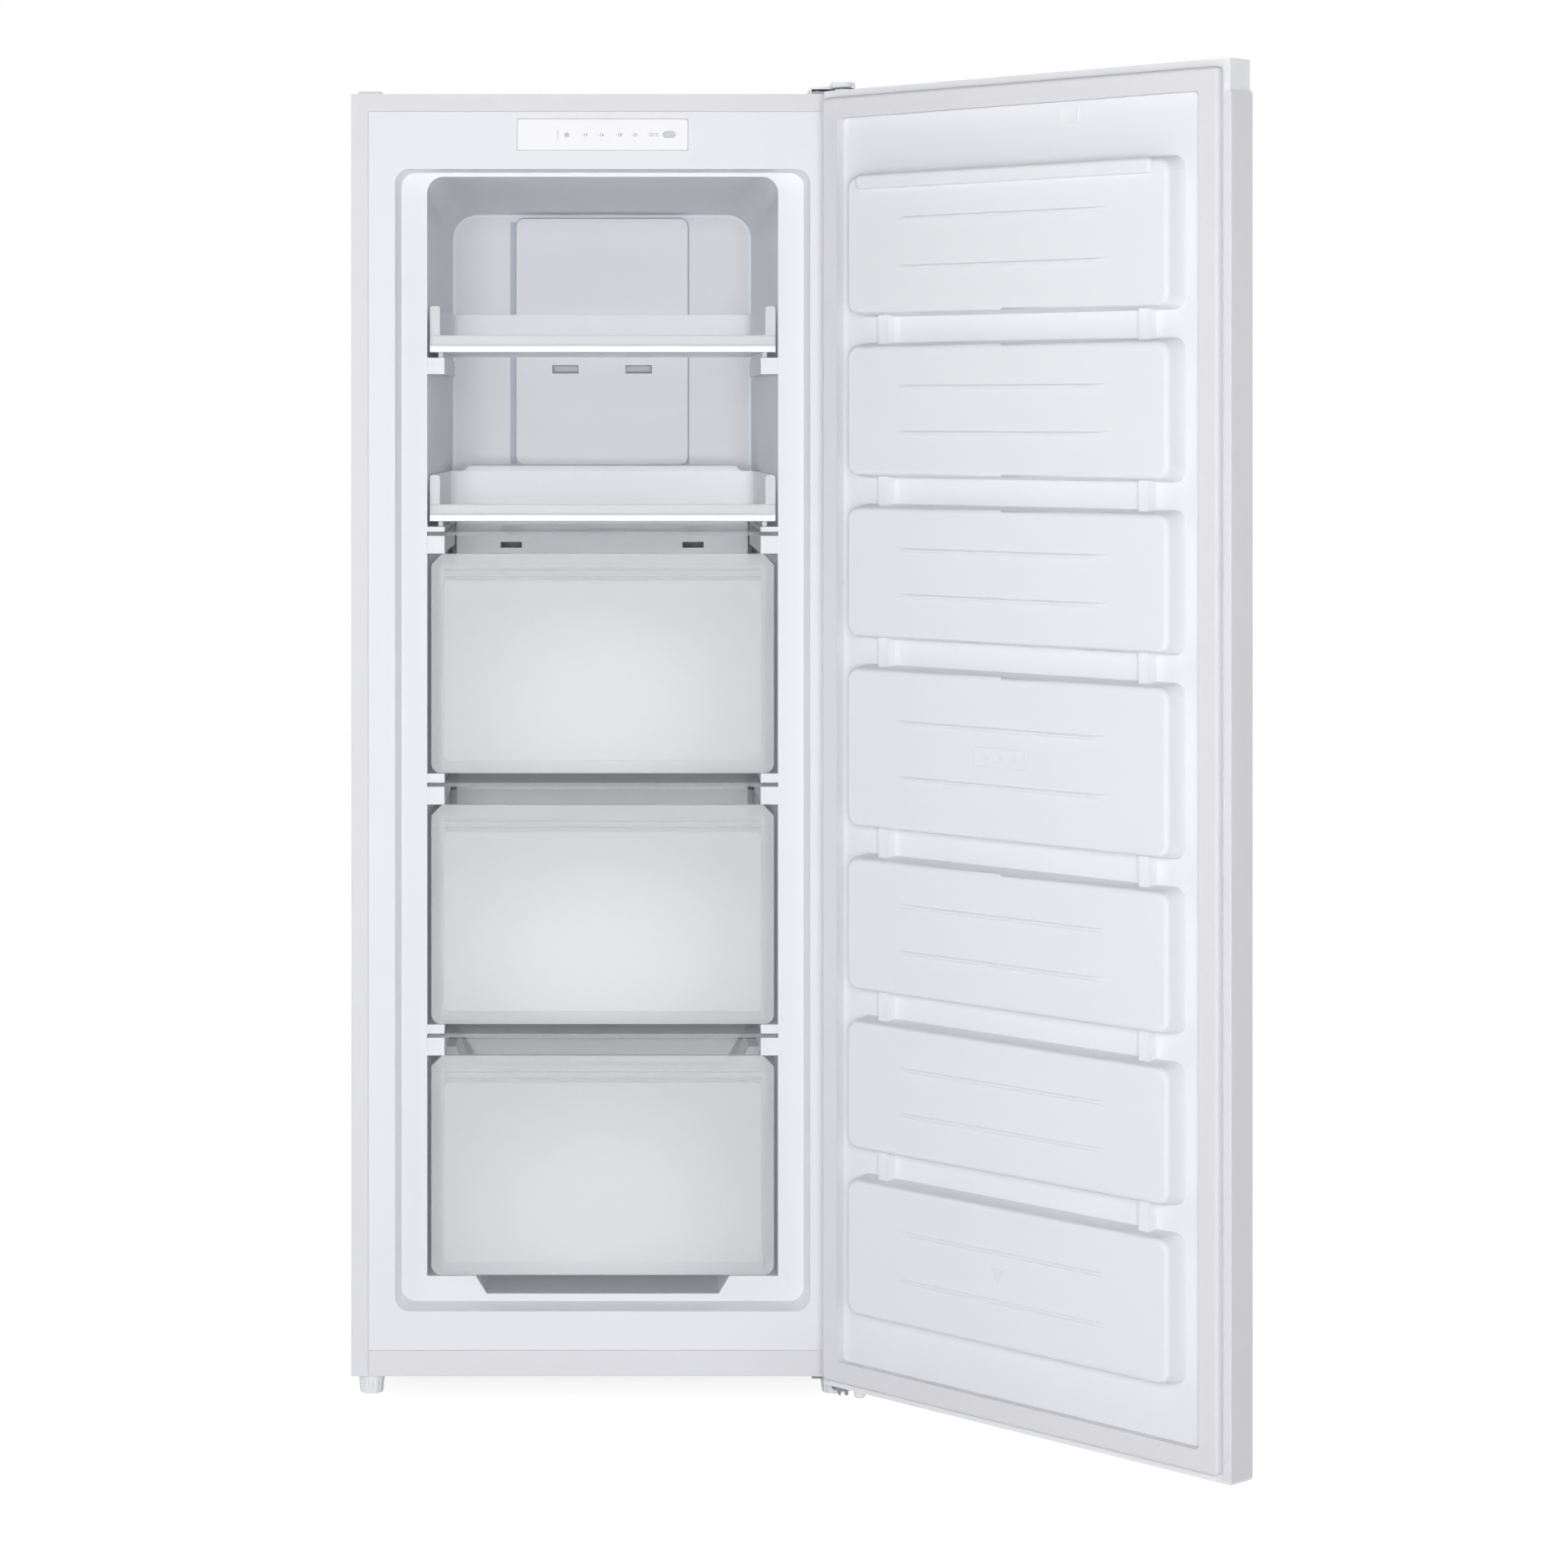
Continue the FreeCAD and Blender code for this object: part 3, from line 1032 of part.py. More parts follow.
def make_door_top_cap():
    """Moulded cap that closes the skin's top end, with a tongue inside the skin."""
    z0 = CABINET_H - CAP_H
    half = HALF - CAP_INSET
    front = DOOR_FRONT + CAP_INSET
    outer = prism_z(rectangle(-half, half, front, DOOR_FACE), z0, CABINET_H, [3, 3, 1, 1])
    hollow = box(-half + CAP_T, half - CAP_T, front + CAP_T, DOOR_FACE - CAP_T, z0 - 1,
                 CABINET_H - CAP_T)
    window_half = HALF - LINER_INSET + SEAM
    window = box(-window_half, window_half, DOOR_FACE - CAP_T - 1, DOOR_FACE + 1, z0 - 1,
                 CABINET_H - LINER_INSET + SEAM)
    tongue_half = HALF - SHEET * 2 - SEAM
    tongue = box(-tongue_half, tongue_half, DOOR_FRONT + SHEET + SEAM, DOOR_FRONT + SHEET + SEAM + CAP_T,
                 z0 - CAP_TONGUE, z0 + 2)
    boss = rod(BUSH_R + 3, V(PIN_X, PIN_Y, CABINET_H - BUSH_H), UP, BUSH_H - 1)
    cap = join([outer.cut([hollow, window]), tongue, boss])
    return swing(cap.cut(bush_seat(CABINET_H - BUSH_H - 1, BUSH_H + 2)))


def make_door_bottom_cap():
    """Moulded plate that closes the skin's bottom end, with a tongue inside the skin and a lip
    below the liner."""
    plate = prism_z(rectangle(-HALF + 0.5, HALF - 0.5, DOOR_FRONT + 0.5, DOOR_FACE), 0, FOOT_CAP_T,
                    [2, 2, 1, 1])
    tongue_half = HALF - SHEET * 2 - SEAM
    tongue = box(-tongue_half, tongue_half, DOOR_FRONT + SHEET + SEAM, DOOR_FRONT + SHEET + SEAM + CAP_T,
                 0, FOOT_CAP_T + CAP_TONGUE)
    lip_half = HALF - SKIN_RETURN - SEAM
    lip = box(-lip_half, lip_half, DOOR_FACE - LINER_T, DOOR_FACE, 0, LINER_INSET - SEAM)
    boss = rod(BUSH_R + 3, V(PIN_X, PIN_Y, 0), UP, BUSH_H)
    screw_holes = [rod(HINGE_SCREW_R - 0.5 + SCREW_FIT, V(HALF - s, PIN_Y, -1), UP, FOOT_CAP_T + 2)
                   for s in STOP_SCREWS]
    cap = join([plate, tongue, lip, boss])
    return swing(cap.cut([bush_seat(-1, BUSH_H + 2)] + screw_holes))


def pad_form(z0, z1, skin):
    """One raised pad of the door liner, shrunk by the sheet's thickness skin."""
    foot_y = DOOR_FACE - LINER_T - skin / 4
    foot = upright(PAD_HALF - skin, z0 + skin, z1 - skin, foot_y, PAD_R - skin)
    crown = upright(PAD_HALF - PAD_DRAFT - skin, z0 + PAD_DRAFT + skin, z1 - PAD_DRAFT - skin,
                    DOOR_FACE + PAD_RISE - skin, PAD_R - skin)
    pad = Part.makeLoft([foot, crown], True, True)
    crown_y = DOOR_FACE + PAD_RISE - skin
    return round_edges(pad, PAD_ROUND - skin, lambda edge: edge.CenterOfMass.y > crown_y - 0.01)


def pad_ribs(z0, z1):
    """Two shallow tapered ribs across a pad."""
    crown_y = DOOR_FACE + PAD_RISE
    ribs = []
    for share in (1 / 3, 2 / 3):
        z = z0 + (z1 - z0) * share
        rib = Part.makeLoft([
            outline([V(-PAD_RIB_HALF, crown_y - 1, z - PAD_RIB_W / 2), V(PAD_RIB_HALF, crown_y - 1, z - PAD_RIB_W / 2),
                     V(PAD_RIB_HALF, crown_y - 1, z + PAD_RIB_W / 2), V(-PAD_RIB_HALF, crown_y - 1, z + PAD_RIB_W / 2)],
                    [3] * 4),
            outline([V(-PAD_RIB_HALF + 30, crown_y + PAD_RIB_RISE, z - 0.8),
                     V(PAD_RIB_HALF - 30, crown_y + PAD_RIB_RISE, z - 0.8),
                     V(PAD_RIB_HALF - 30, crown_y + PAD_RIB_RISE, z + 0.8),
                     V(-PAD_RIB_HALF + 30, crown_y + PAD_RIB_RISE, z + 0.8)], [0.7] * 4),
        ], True, True)
        ribs.append(rib)
    return ribs


def make_door_liner():
    """Thermoformed inner face: seven hollow pads, bridges between them and a bar on the top pad."""
    half = HALF - LINER_INSET
    plate = box(-half, half, DOOR_FACE - LINER_T, DOOR_FACE, LINER_INSET, CABINET_H - LINER_INSET)
    solids = [plate]
    hollows = []
    spans = pad_spans()
    for z0, z1 in spans:
        solids.append(pad_form(z0, z1, 0))
        solids.extend(pad_ribs(z0, z1))
        hollows.append(pad_form(z0, z1, LINER_T))
    for (_, gap_bottom), (gap_top, _) in zip(spans[:-1], spans[1:]):
        for side in SIDES:
            x = side * BRIDGE_X
            solids.append(box(x - BRIDGE_W / 2, x + BRIDGE_W / 2, DOOR_FACE - 1, DOOR_FACE + BRIDGE_RISE,
                              gap_bottom - PAD_DRAFT, gap_top + PAD_DRAFT))
    crown_y = DOOR_FACE + PAD_RISE
    bar = slab_y(BAR_HALF, BAR_TOP - BAR_H, BAR_TOP, crown_y - 9, crown_y + BAR_RISE, 6)
    solids.append(round_edges(bar, 4, lambda edge: edge.CenterOfMass.y > crown_y + BAR_RISE - 0.01))
    return swing(join(solids).cut(hollows))


def make_door_foam():
    """Insulation inside the door, pads included."""
    half = HALF - SHEET - SEAM
    core = box(-half, half, DOOR_FRONT + SHEET + SEAM + CAP_T + SEAM, DOOR_FACE - LINER_T - SEAM,
               FOOT_CAP_T + SEAM, CABINET_H - CAP_H - SEAM)
    cap_half = HALF - CAP_INSET - CAP_T - SEAM
    head = box(-cap_half, cap_half, DOOR_FRONT + CAP_INSET + CAP_T + SEAM + 2, DOOR_FACE - CAP_T - SEAM,
               CABINET_H - CAP_H - SEAM - 1, CABINET_H - CAP_T - SEAM)
    pads = [pad_form(z0, z1, LINER_T + SEAM) for z0, z1 in pad_spans()]
    cuts = [rod(BUSH_R + 3 + SEAM, V(PIN_X, PIN_Y, 0), UP, BUSH_H + SEAM),
            rod(BUSH_R + 3 + SEAM, V(PIN_X, PIN_Y, CABINET_H - BUSH_H - SEAM), UP, BUSH_H)]
    for s in STOP_SCREWS:
        cuts.append(rod(HINGE_SCREW_R, V(HALF - s, PIN_Y, 0), UP, 14))
    return swing(join([core, head] + pads).cut(cuts))


def make_door_gasket():
    """Magnetic seal: a closed frame with rounded lips and a bellows groove along its outside."""
    outer_half = HALF - GASKET_MARGIN
    z0 = GASKET_MARGIN
    z1 = CABINET_H - GASKET_MARGIN
    face = DOOR_FACE + GASKET_RISE
    ring = slab_y(outer_half, z0, z1, DOOR_FACE, face, 6)
    ring = round_edges(ring, GASKET_ROUND, lambda edge: edge.CenterOfMass.y > face - 0.01)
    inside = slab_y(outer_half - GASKET_W, z0 + GASKET_W, z1 - GASKET_W, DOOR_FACE - 1, face + 1, 5)
    groove_outer = slab_y(outer_half + 1, z0 - 1, z1 + 1, DOOR_FACE + 2, DOOR_FACE + 4, 6)
    groove_inner = slab_y(outer_half - 2.5, z0 + 2.5, z1 - 2.5, DOOR_FACE + 1, DOOR_FACE + 5, 4)
    return swing(ring.cut([inside, groove_outer.cut(groove_inner)]))


def make_magnet_clip():
    """Small square cover of the door sensor's magnet, above the top pad."""
    clip = prism_y(rectangle(CLIP_X - CLIP_W / 2, CLIP_X + CLIP_W / 2, CLIP_Z - CLIP_H / 2,
                             CLIP_Z + CLIP_H / 2), DOOR_FACE, DOOR_FACE + CLIP_RISE, [2] * 4)
    dish = prism_y(rectangle(CLIP_X - CLIP_W / 2 + 3, CLIP_X + CLIP_W / 2 - 3, CLIP_Z - CLIP_H / 2 + 3,
                             CLIP_Z + CLIP_H / 2 - 1.5), DOOR_FACE + 1.2, DOOR_FACE + 4, [1] * 4)
    return swing(clip.cut(dish))


def make_bush(way):
    """Flanged plastic bush in the door's top (way +1) or bottom (way -1)."""
    bore_r = PIN_R + FIT
    if way > 0:
        body = rod(BUSH_R, V(PIN_X, PIN_Y, CABINET_H - BUSH_H), UP, BUSH_H)
        flange = rod(BUSH_FLANGE_R, V(PIN_X, PIN_Y, CABINET_H), UP, UPPER_RISE - RUN * 4)
    else:
        body = rod(BUSH_R, V(PIN_X, PIN_Y, 0), UP, BUSH_H)
        flange = rod(BUSH_FLANGE_R, V(PIN_X, PIN_Y, -LOWER_DROP + RUN), UP, LOWER_DROP - RUN)
    bore = rod(bore_r, V(PIN_X, PIN_Y, -50), UP, CABINET_H + 100)
    return swing(join([body, flange]).cut(bore))


def make_door_stop():
    """Plate under the door with the stop boss hanging from it."""
    end = HALF - STOP_PLATE_END
    plate = prism_z(rectangle(end, HALF - 3, PIN_Y - 12, PIN_Y + 12), -STOP_T, 0, [5, 3, 3, 5])
    boss = turned([(0, -STOP_T - STOP_BOSS_H), (STOP_BOSS_R - 1.5, -STOP_T - STOP_BOSS_H),
                   (STOP_BOSS_R, -STOP_T - STOP_BOSS_H + 2), (STOP_BOSS_R, -STOP_T + 0.5),
                   (0, -STOP_T + 0.5)], PIN_X - STOP_REACH, PIN_Y)
    holes = [rod(BUSH_FLANGE_R + SEAM, V(PIN_X, PIN_Y, -5), UP, 10)]
    for s in STOP_SCREWS:
        holes.append(rod(HINGE_SCREW_R - 0.5 + SCREW_FIT, V(HALF - s, PIN_Y, -5), UP, 10))
    return swing(join([plate, boss]).cut(holes))


def make_door_screws():
    """Two screws that hold the stop plate under the door."""
    screws = []
    for s in STOP_SCREWS:
        x = HALF - s
        screws.append(join([rod(3.4, V(x, PIN_Y, -STOP_T - 2), UP, 2),
                            rod(HINGE_SCREW_R - 0.5, V(x, PIN_Y, -STOP_T), UP, 14)]))
    return swing(Part.makeCompound(screws))


def main():
    os.makedirs("parts", exist_ok=True)
    nodes = {
        "cabinet_shell": make_cabinet_shell(),
        "inner_liner": make_inner_liner(),
        "insulation": make_insulation(),
        "bottom_front_trim": make_bottom_front_trim(),
        "back_panel": make_back_panel(),
        "base_plate": make_base_plate(),
        "foot_nuts": make_foot_nuts(),
        "front_foot_left": make_front_foot(-1, -RUN),
        "front_foot_right": make_front_foot(1, -HINGE_T - RUN),
        "rear_feet": make_rear_feet(),
        "hinge_hole_cover": make_hinge_hole_cover(),
        "control_panel": make_control_panel(),
        "control_button": make_control_button(),
        "control_board": make_control_board(),
        "duct_cover": make_duct_cover(),
        "evaporator_cover": make_evaporator_cover(),
        "evaporator": make_evaporator(),
        "defrost_heater": make_defrost_heater(),
        "fan_motor": make_fan_motor(),
        "fan_rotor": make_fan_rotor(),
        "machine_panel": make_machine_panel(),
        "compressor_tray": make_compressor_tray(),
        "compressor_mounts": make_compressor_mounts(),
        "compressor": make_compressor(),
        "refrigerant_pipe": make_refrigerant_pipe(),
        "evaporation_pan": make_evaporation_pan(),
        "drain_tube": make_drain_tube(),
        "condenser_coil": make_condenser_coil(),
        "upper_hinge": make_hinge(CABINET_H, 1, UPPER_RISE),
        "lower_hinge": make_hinge(0, -1, LOWER_DROP),
        "upper_hinge_cover": make_upper_hinge_cover(),
        "hinge_screws": make_hinge_screws(),
        "door_skin": make_door_skin(),
        "door_top_cap": make_door_top_cap(),
        "door_bottom_cap": make_door_bottom_cap(),
        "door_liner": make_door_liner(),
        "door_foam": make_door_foam(),
        "door_gasket": make_door_gasket(),
        "magnet_clip": make_magnet_clip(),
        "upper_bush": make_bush(1),
        "lower_bush": make_bush(-1),
        "door_stop": make_door_stop(),
        "door_screws": make_door_screws(),
    }
    for i in range(len(TRAY_BOTTOMS)):
        nodes["tray_" + str(i + 1)] = make_tray(i)
    for i in range(len(DRAWER_BOTTOMS)):
        nodes["shelf_" + str(i + 1)] = make_shelf(i)
        nodes["drawer_tub_" + str(i + 1)] = make_drawer_tub(i)
        nodes["drawer_front_" + str(i + 1)] = make_drawer_front(i)
    for name, shape in nodes.items():
        export(name, shape)


if __name__ == "__main__":
    main()
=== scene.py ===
"""Looks of an upright freezer with its door standing open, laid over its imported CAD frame."""

import math

import bmesh
import bpy
from mathutils import Matrix, Vector


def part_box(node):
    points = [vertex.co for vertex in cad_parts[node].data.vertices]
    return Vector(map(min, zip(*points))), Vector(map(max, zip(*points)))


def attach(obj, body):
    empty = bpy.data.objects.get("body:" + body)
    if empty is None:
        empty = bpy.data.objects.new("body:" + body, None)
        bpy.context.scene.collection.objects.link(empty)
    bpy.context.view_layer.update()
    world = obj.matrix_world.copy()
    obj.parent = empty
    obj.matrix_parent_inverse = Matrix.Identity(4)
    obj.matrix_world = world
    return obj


bl_info = {
    "name": "Upright Freezer Looks",
    "version": (1, 0, 0),
    "blender": (4, 5, 0),
    "location": "View3D > Sidebar > Freezer",
    "description": "Finishes, printing and small fittings of an upright freezer, and its studio",
    "category": "Object",
}

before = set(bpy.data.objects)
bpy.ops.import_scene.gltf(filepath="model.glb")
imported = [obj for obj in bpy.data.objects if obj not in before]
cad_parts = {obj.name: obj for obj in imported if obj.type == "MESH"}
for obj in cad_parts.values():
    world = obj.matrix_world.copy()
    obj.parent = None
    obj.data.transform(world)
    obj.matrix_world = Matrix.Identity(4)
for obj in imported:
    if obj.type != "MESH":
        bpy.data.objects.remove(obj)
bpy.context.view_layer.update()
MM = 0.001

# The photograph's frame, and the camera worked out from it: the cabinet's front is square to the
# view, so its 550 mm width fixes the scale there, and the open door's taper fixes the distance.
IMAGE_SIZE = 1920.0
HORIZON_U = 730.0
HORIZON_V = 507.3
CAMERA_FOCAL_PX = 4732.5
CAMERA_BACK = 4.2255
CAMERA_LEFT = 0.0071
CAMERA_HEIGHT = 1.0733

# Cloudy plastic: the share of its haze that a wall's shadow keeps, for drawers and for trays, the
# haze that is added round a spot low on a drawer front as a painted pool of light, the haze of a wall
# seen edge on, and how much darker the front of a tray's lip is painted, as painted shade.
FORWARD_SHADE = 0.3
TRAY_FORWARD_SHADE = 0.14
PAINTED_LIGHT_MILK = 0.2
EDGE_HAZE = 0.85
PAINTED_LIP_SHADE = 0.76

# Hinge axis of the door and the angle it stands open, in the cabinet's own mm, as in the CAD.
HINGE_X = 261.2
HINGE_Y = -29.65
DOOR_OPEN = 133.3

# The film of ink on the panel, and the height of the built-in font's figures for a size of 1.
INK_FILM = 0.03
FIGURE_SHARE = 0.73

# Middles of the panel's figures and small lights, from the cabinet's middle, in mm, as in the CAD.
LIGHT_XS = (-19.6, -1.8, 17.9, 34.8, 55.4)
LIGHT_DROP = 7.0
LIGHT_R = 0.78
LENS_INSET = 0.1
LENS_DEPTH = 1.6

# The panel's printing, in mm: its drop below the panel's middle, the divider's place, half width and
# half height, and the ice crystal's place, with the half width and length of its arms and barbs.
PRINT_DROP = 0.4
DIVIDER_X = -49.1
DIVIDER_HALF_W = 0.2
DIVIDER_HALF_H = 5.0
FLAKE_X = -39.2
FLAKE_ARM = (0.22, 3.1)
FLAKE_BARB = (0.18, 1.3)
FLAKE_BARB_OUT = 1.6
FLAKE_BARB_LEAN = 50
FLAKE_ARMS = 6

# The rim round the panel, in mm: its width and how far it stands out of the cabinet's front.
RIM_WIDTH = 1.1
RIM_PROUD = 0.15
HAIR_EDGE = 0.05

# The strip round the duct cover, a grey sheet on the back wall painted as the cover's shadow and joint
# shade, in mm: its thickness, how far it sinks into the wall, how high its foot stands over the
# evaporator cover, the cover's corner, and the wide flank on the left, a wider painted shadow.
STRIP_DEPTH = 1.2
STRIP_SINK = 0.1
STRIP_FOOT = 1.5
STRIP_CORNER = 10
FLANK_WIDTH = 6.5
FLANK_INSET = 0.4
FLANK_EDGE = 0.3
FLANK_END = 0.4             # where the flank ends, as a share of the corner

# The moulding tool's blank marks, in mm: the pads' face, the ridge's width and rise, the frame with
# its three plates on the fourth pad, and the ring on the lowest pad.
PAD_FACE = 14.0
PAD_SINK = 0.1
MARK_LINE = 1.1
MARK_RISE = 0.45
MARK_EDGE = 0.3
FRAME_XS = (-33.0, 37.0)
FRAME_ZS = (687.0, 708.0)
PLATE_XS = (-18.0, 2.0, 22.0)
PLATE_R = 5.2
RING_X = 4.8
RING_Z = 166.0
RING_RS = (11.0, 6.0)
RING_STEP = 0.3
DISH_RIM = 0.22             # a plate's rim as a share of its radius, and its dish of its rise
DISH_DEPTH = 0.8

# The bead on a tray's lip, a thin band painted bright as a painted highlight along the lip's rounded
# lower edge, in mm: the ribs under the tray, how far the bead stands out and reaches in, and where it
# starts and ends above the tray's underside.
TRAY_RIB = 5.5
BEAD_PROUD = 0.15
BEAD_IN = 2.0
BEAD_ZS = (0.5, 7.4)
BEAD_EDGE = 0.6
PAINTED_SHADE_DEPTH = 7               # from the lip's face to where its painted shade stops
PAINTED_SHADE_BLEND = 4

# Back wall of the cavity and the duct cover's air slots, in mm, as in the CAD.
COVE_R = 3.4
COVE_SINK = 0.3             # how far the fold's piece reaches into the wall
HAIR = 0.001                # two places closer than this are the same place
BACK_WALL_Y = 440.0
BACK_WALL_HALF = 180.5
BACK_WALL_TOP = 1293.0
BACK_WALL_CORNER = 30.0
DUCT_SLOT_X = 44.0
DUCT_SLOT_Z = 1105.9
DUCT_SLOT_SIZE = (31.5, 10.0)
# The lips along the air slots' edges are dark as painted shade; their sizes follow, in mm.
SLOT_LIP_BOTTOM = 1.4
SLOT_LIP_TOP = 0.7
SLOT_LIP_SIDE = 1.0
SLOT_LIP_YS = (0.4, 2.4)
SLOT_LIP_EDGE = 0.2

# The studio's soft lamps, as size and place in metres: straight in front, at both sides in front,
# behind, and beside the cabinet behind its front, which only its sides and the floor see.
FRONT_LAMP = (1.5, (0.14, -4.6, 1.1))
LEFT_LAMP = (1.8, (-3.0, -2.6, 1.4))
RIGHT_LAMP = (1.8, (3.4, -2.6, 1.4))
BACK_LAMP = (2.6, (0.9, 4.6, 2.3))
LEFT_SIDE_LAMP = (1.8, (-3.1, 1.7, 1.5))
RIGHT_SIDE_LAMP = (1.8, (3.6, 1.7, 1.5))
AIM_HEIGHT = 0.7

# The floor as the camera sees it: half its width, the grey that takes the shadow, and the glow that
# fades into the white room, from one distance to another in metres.
FLOOR_HALF = 9.0
FLOOR_PAPER = 0.42
FLOOR_GLOW = (0.84, 1.0)
FLOOR_FADE = (0.9, 2.4)


# ---- small helpers ---------------------------------------------------------------------------
def linear(hex_colour):
    """Linear RGB of an sRGB hex colour such as E9E9EC."""
    parts = [int(hex_colour[i:i + 2], 16) / 255 for i in (0, 2, 4)]
    return tuple(c / 12.92 if c <= 0.04045 else ((c + 0.055) / 1.055) ** 2.4 for c in parts)


def per_metre(millimetres):
    """Texture scale, in repeats per metre, of a pattern with that spacing."""
    return 1000.0 / millimetres


def add_node(tree, kind, settings=None, values=None, links=None):
    """Adds a node with its settings, its sockets' values and its incoming links."""
    new = tree.nodes.new(kind)
    for name, value in (settings or {}).items():
        setattr(new, name, value)
    for socket, value in (values or {}).items():
        new.inputs[socket].default_value = value
    for socket, source in (links or {}).items():
        tree.links.new(source, new.inputs[socket])
    return new


def colour_property(label, description, hex_colour):
    return bpy.props.FloatVectorProperty(
        name=label, description=description, subtype="COLOR", size=3, min=0.0, max=1.0,
        default=linear(hex_colour))


def length_property(label, description, millimetres):
    return bpy.props.FloatProperty(
        name=label, description=description, subtype="DISTANCE", unit="LENGTH", min=0.0,
        default=millimetres * MM)


def power_property(label, description, watts):
    return bpy.props.FloatProperty(name=label, description=description, unit="POWER", min=0.0, default=watts)


def share_property(label, description, share):
    return bpy.props.FloatProperty(
        name=label, description=description, subtype="FACTOR", min=0.0, max=1.0, default=share)


# ---- settings --------------------------------------------------------------------------------
class FreezerFinishes(bpy.types.PropertyGroup):
    enamel: colour_property("Enamel", "Painted steel of the cabinet and the door", "E0E0E4")
    lining: colour_property("Lining", "Thermoformed sheet of the cabinet and the door", "E9EAEE")
    fittings: colour_property("Fittings", "Moulded caps, covers, feet and hinge bushes", "EBECEF")
    trays: colour_property("Trays", "Opal plastic of the pull-out trays", "F9FAFD")
    clear: colour_property("Drawers", "Cloudy clear plastic of the drawers and the shelves", "F4F5F8")
    cloud: share_property("Cloudiness", "Share of light that the clear plastic's surface scatters", 0.30)
    tray_cloud: share_property("Tray cloudiness", "Share of light that the opal trays' surface scatters", 0.8)
    seal: colour_property("Door seal", "Soft vinyl of the door seal", "E0E0E4")
    ink: colour_property("Print", "Printing on the control panel", "83858E")
    # The fold's colour, whiter and bluer than the lining's, is a painted highlight along the fold.
    cove_highlight: colour_property("Fold", "Glossy fold of the lining round the back wall", "F3F7FF")
    # The strip round the duct cover is a grey sheet painted as the cover's shadow and joint shade; the slots'
    # lips take this grey at half, as painted shade.
    strip: colour_property("Sealing strip", "Foam strip round the air duct's cover", "C6CAD5")
    panel: colour_property("Control panel", "Moulded cover of the controls", "F6F6F8")
    bezel: colour_property("Bezel", "Thin rim round the control panel", "CFD0D4")
    print_height: length_property("Print height", "Height of the figures on the control panel", 3.6)
    strip_width: length_property("Strip width", "Width of the foam strip round the duct cover", 2.0)


class FreezerStudio(bpy.types.PropertyGroup):
    front_power: power_property("Front light", "Large soft light straight in front", 131.0)
    left_power: power_property("Left light", "Large soft light from the front left", 20.0)
    right_power: power_property("Right light", "Large soft light from the front right", 5.5)
    side_power: power_property("Side lights", "Two soft lights beside the cabinet, behind its front", 40.0)
    back_power: power_property("Back light", "Large soft light behind the cabinet", 60.0)
    room: share_property("Room light", "Even light from the pale room", 0.12)


# ---- materials -------------------------------------------------------------------------------
def start_material(name):
    """An empty node material with its Principled shader, its output and Object coordinates."""
    material = bpy.data.materials.new(name)
    material.use_nodes = True
    tree = material.node_tree
    tree.nodes.clear()
    shader = add_node(tree, "ShaderNodeBsdfPrincipled")
    add_node(tree, "ShaderNodeOutputMaterial", links={"Surface": shader.outputs["BSDF"]})
    place = add_node(tree, "ShaderNodeTexCoord").outputs["Object"]
    return material, tree, shader, place


def relief(tree, shader, height, depth_mm, strength=1.0):
    """Bump of that depth from a height output."""
    bump = add_node(tree, "ShaderNodeBump", values={"Strength": strength, "Distance": depth_mm * MM},
                    links={"Height": height})
    tree.links.new(bump.outputs["Normal"], shader.inputs["Normal"])


def tone(tree, shader, factor, dark, light):
    """Base colour that drifts between two close tones."""
    mix = add_node(tree, "ShaderNodeMix", settings={"data_type": "RGBA"}, links={"Factor": factor})
    mix.inputs["A"].default_value = (*dark, 1)
    mix.inputs["B"].default_value = (*light, 1)
    tree.links.new(mix.outputs["Result"], shader.inputs["Base Color"])


def spread(tree, factor, low, high):
    """Maps a 0 to 1 texture to low..high."""
    ranged = add_node(tree, "ShaderNodeMapRange", values={"To Min": low, "To Max": high},
                      links={"Value": factor})
    return ranged.outputs["Result"]


def shade(colour, share):
    """That share of a linear colour."""
    return tuple(channel * share for channel in colour)


def painted_steel(colour):
    """Pre-painted sheet steel, roller coated: a smooth satin film with a faint orange peel that
    breaks up the edge of each reflection."""
    material, tree, shader, place = start_material("painted_sheet_steel")
    shader.inputs["IOR"].default_value = 1.5
    shader.inputs["Specular IOR Level"].default_value = 0.3
    drift = add_node(tree, "ShaderNodeTexNoise", values={"Scale": per_metre(220), "Detail": 2.0},
                     links={"Vector": place})
    tone(tree, shader, drift.outputs["Fac"], shade(colour, 0.985), shade(colour, 1.01))
    tree.links.new(spread(tree, drift.outputs["Fac"], 0.46, 0.54), shader.inputs["Roughness"])
    peel = add_node(tree, "ShaderNodeTexNoise", values={"Scale": per_metre(2.2), "Detail": 1.0},
                    links={"Vector": place})
    relief(tree, shader, peel.outputs["Fac"], 0.02, 0.5)
    return material


def formed_polystyrene(colour, name="vacuum_formed_polystyrene", gloss=(0.34, 0.40)):
    """High-impact polystyrene sheet, vacuum formed: a soft gloss over long shallow waves, where the
    warm sheet drew thinner."""
    material, tree, shader, place = start_material(name)
    shader.inputs["IOR"].default_value = 1.55
    shader.inputs["Subsurface Weight"].default_value = 0.06
    shader.inputs["Subsurface Radius"].default_value = (0.003, 0.003, 0.003)
    waves = add_node(tree, "ShaderNodeTexNoise", values={"Scale": per_metre(120), "Detail": 1.0},
                     links={"Vector": place})
    tone(tree, shader, waves.outputs["Fac"], shade(colour, 0.992), colour)
    tree.links.new(spread(tree, waves.outputs["Fac"], *gloss), shader.inputs["Roughness"])
    relief(tree, shader, waves.outputs["Fac"], 0.06, 0.5)
    return material


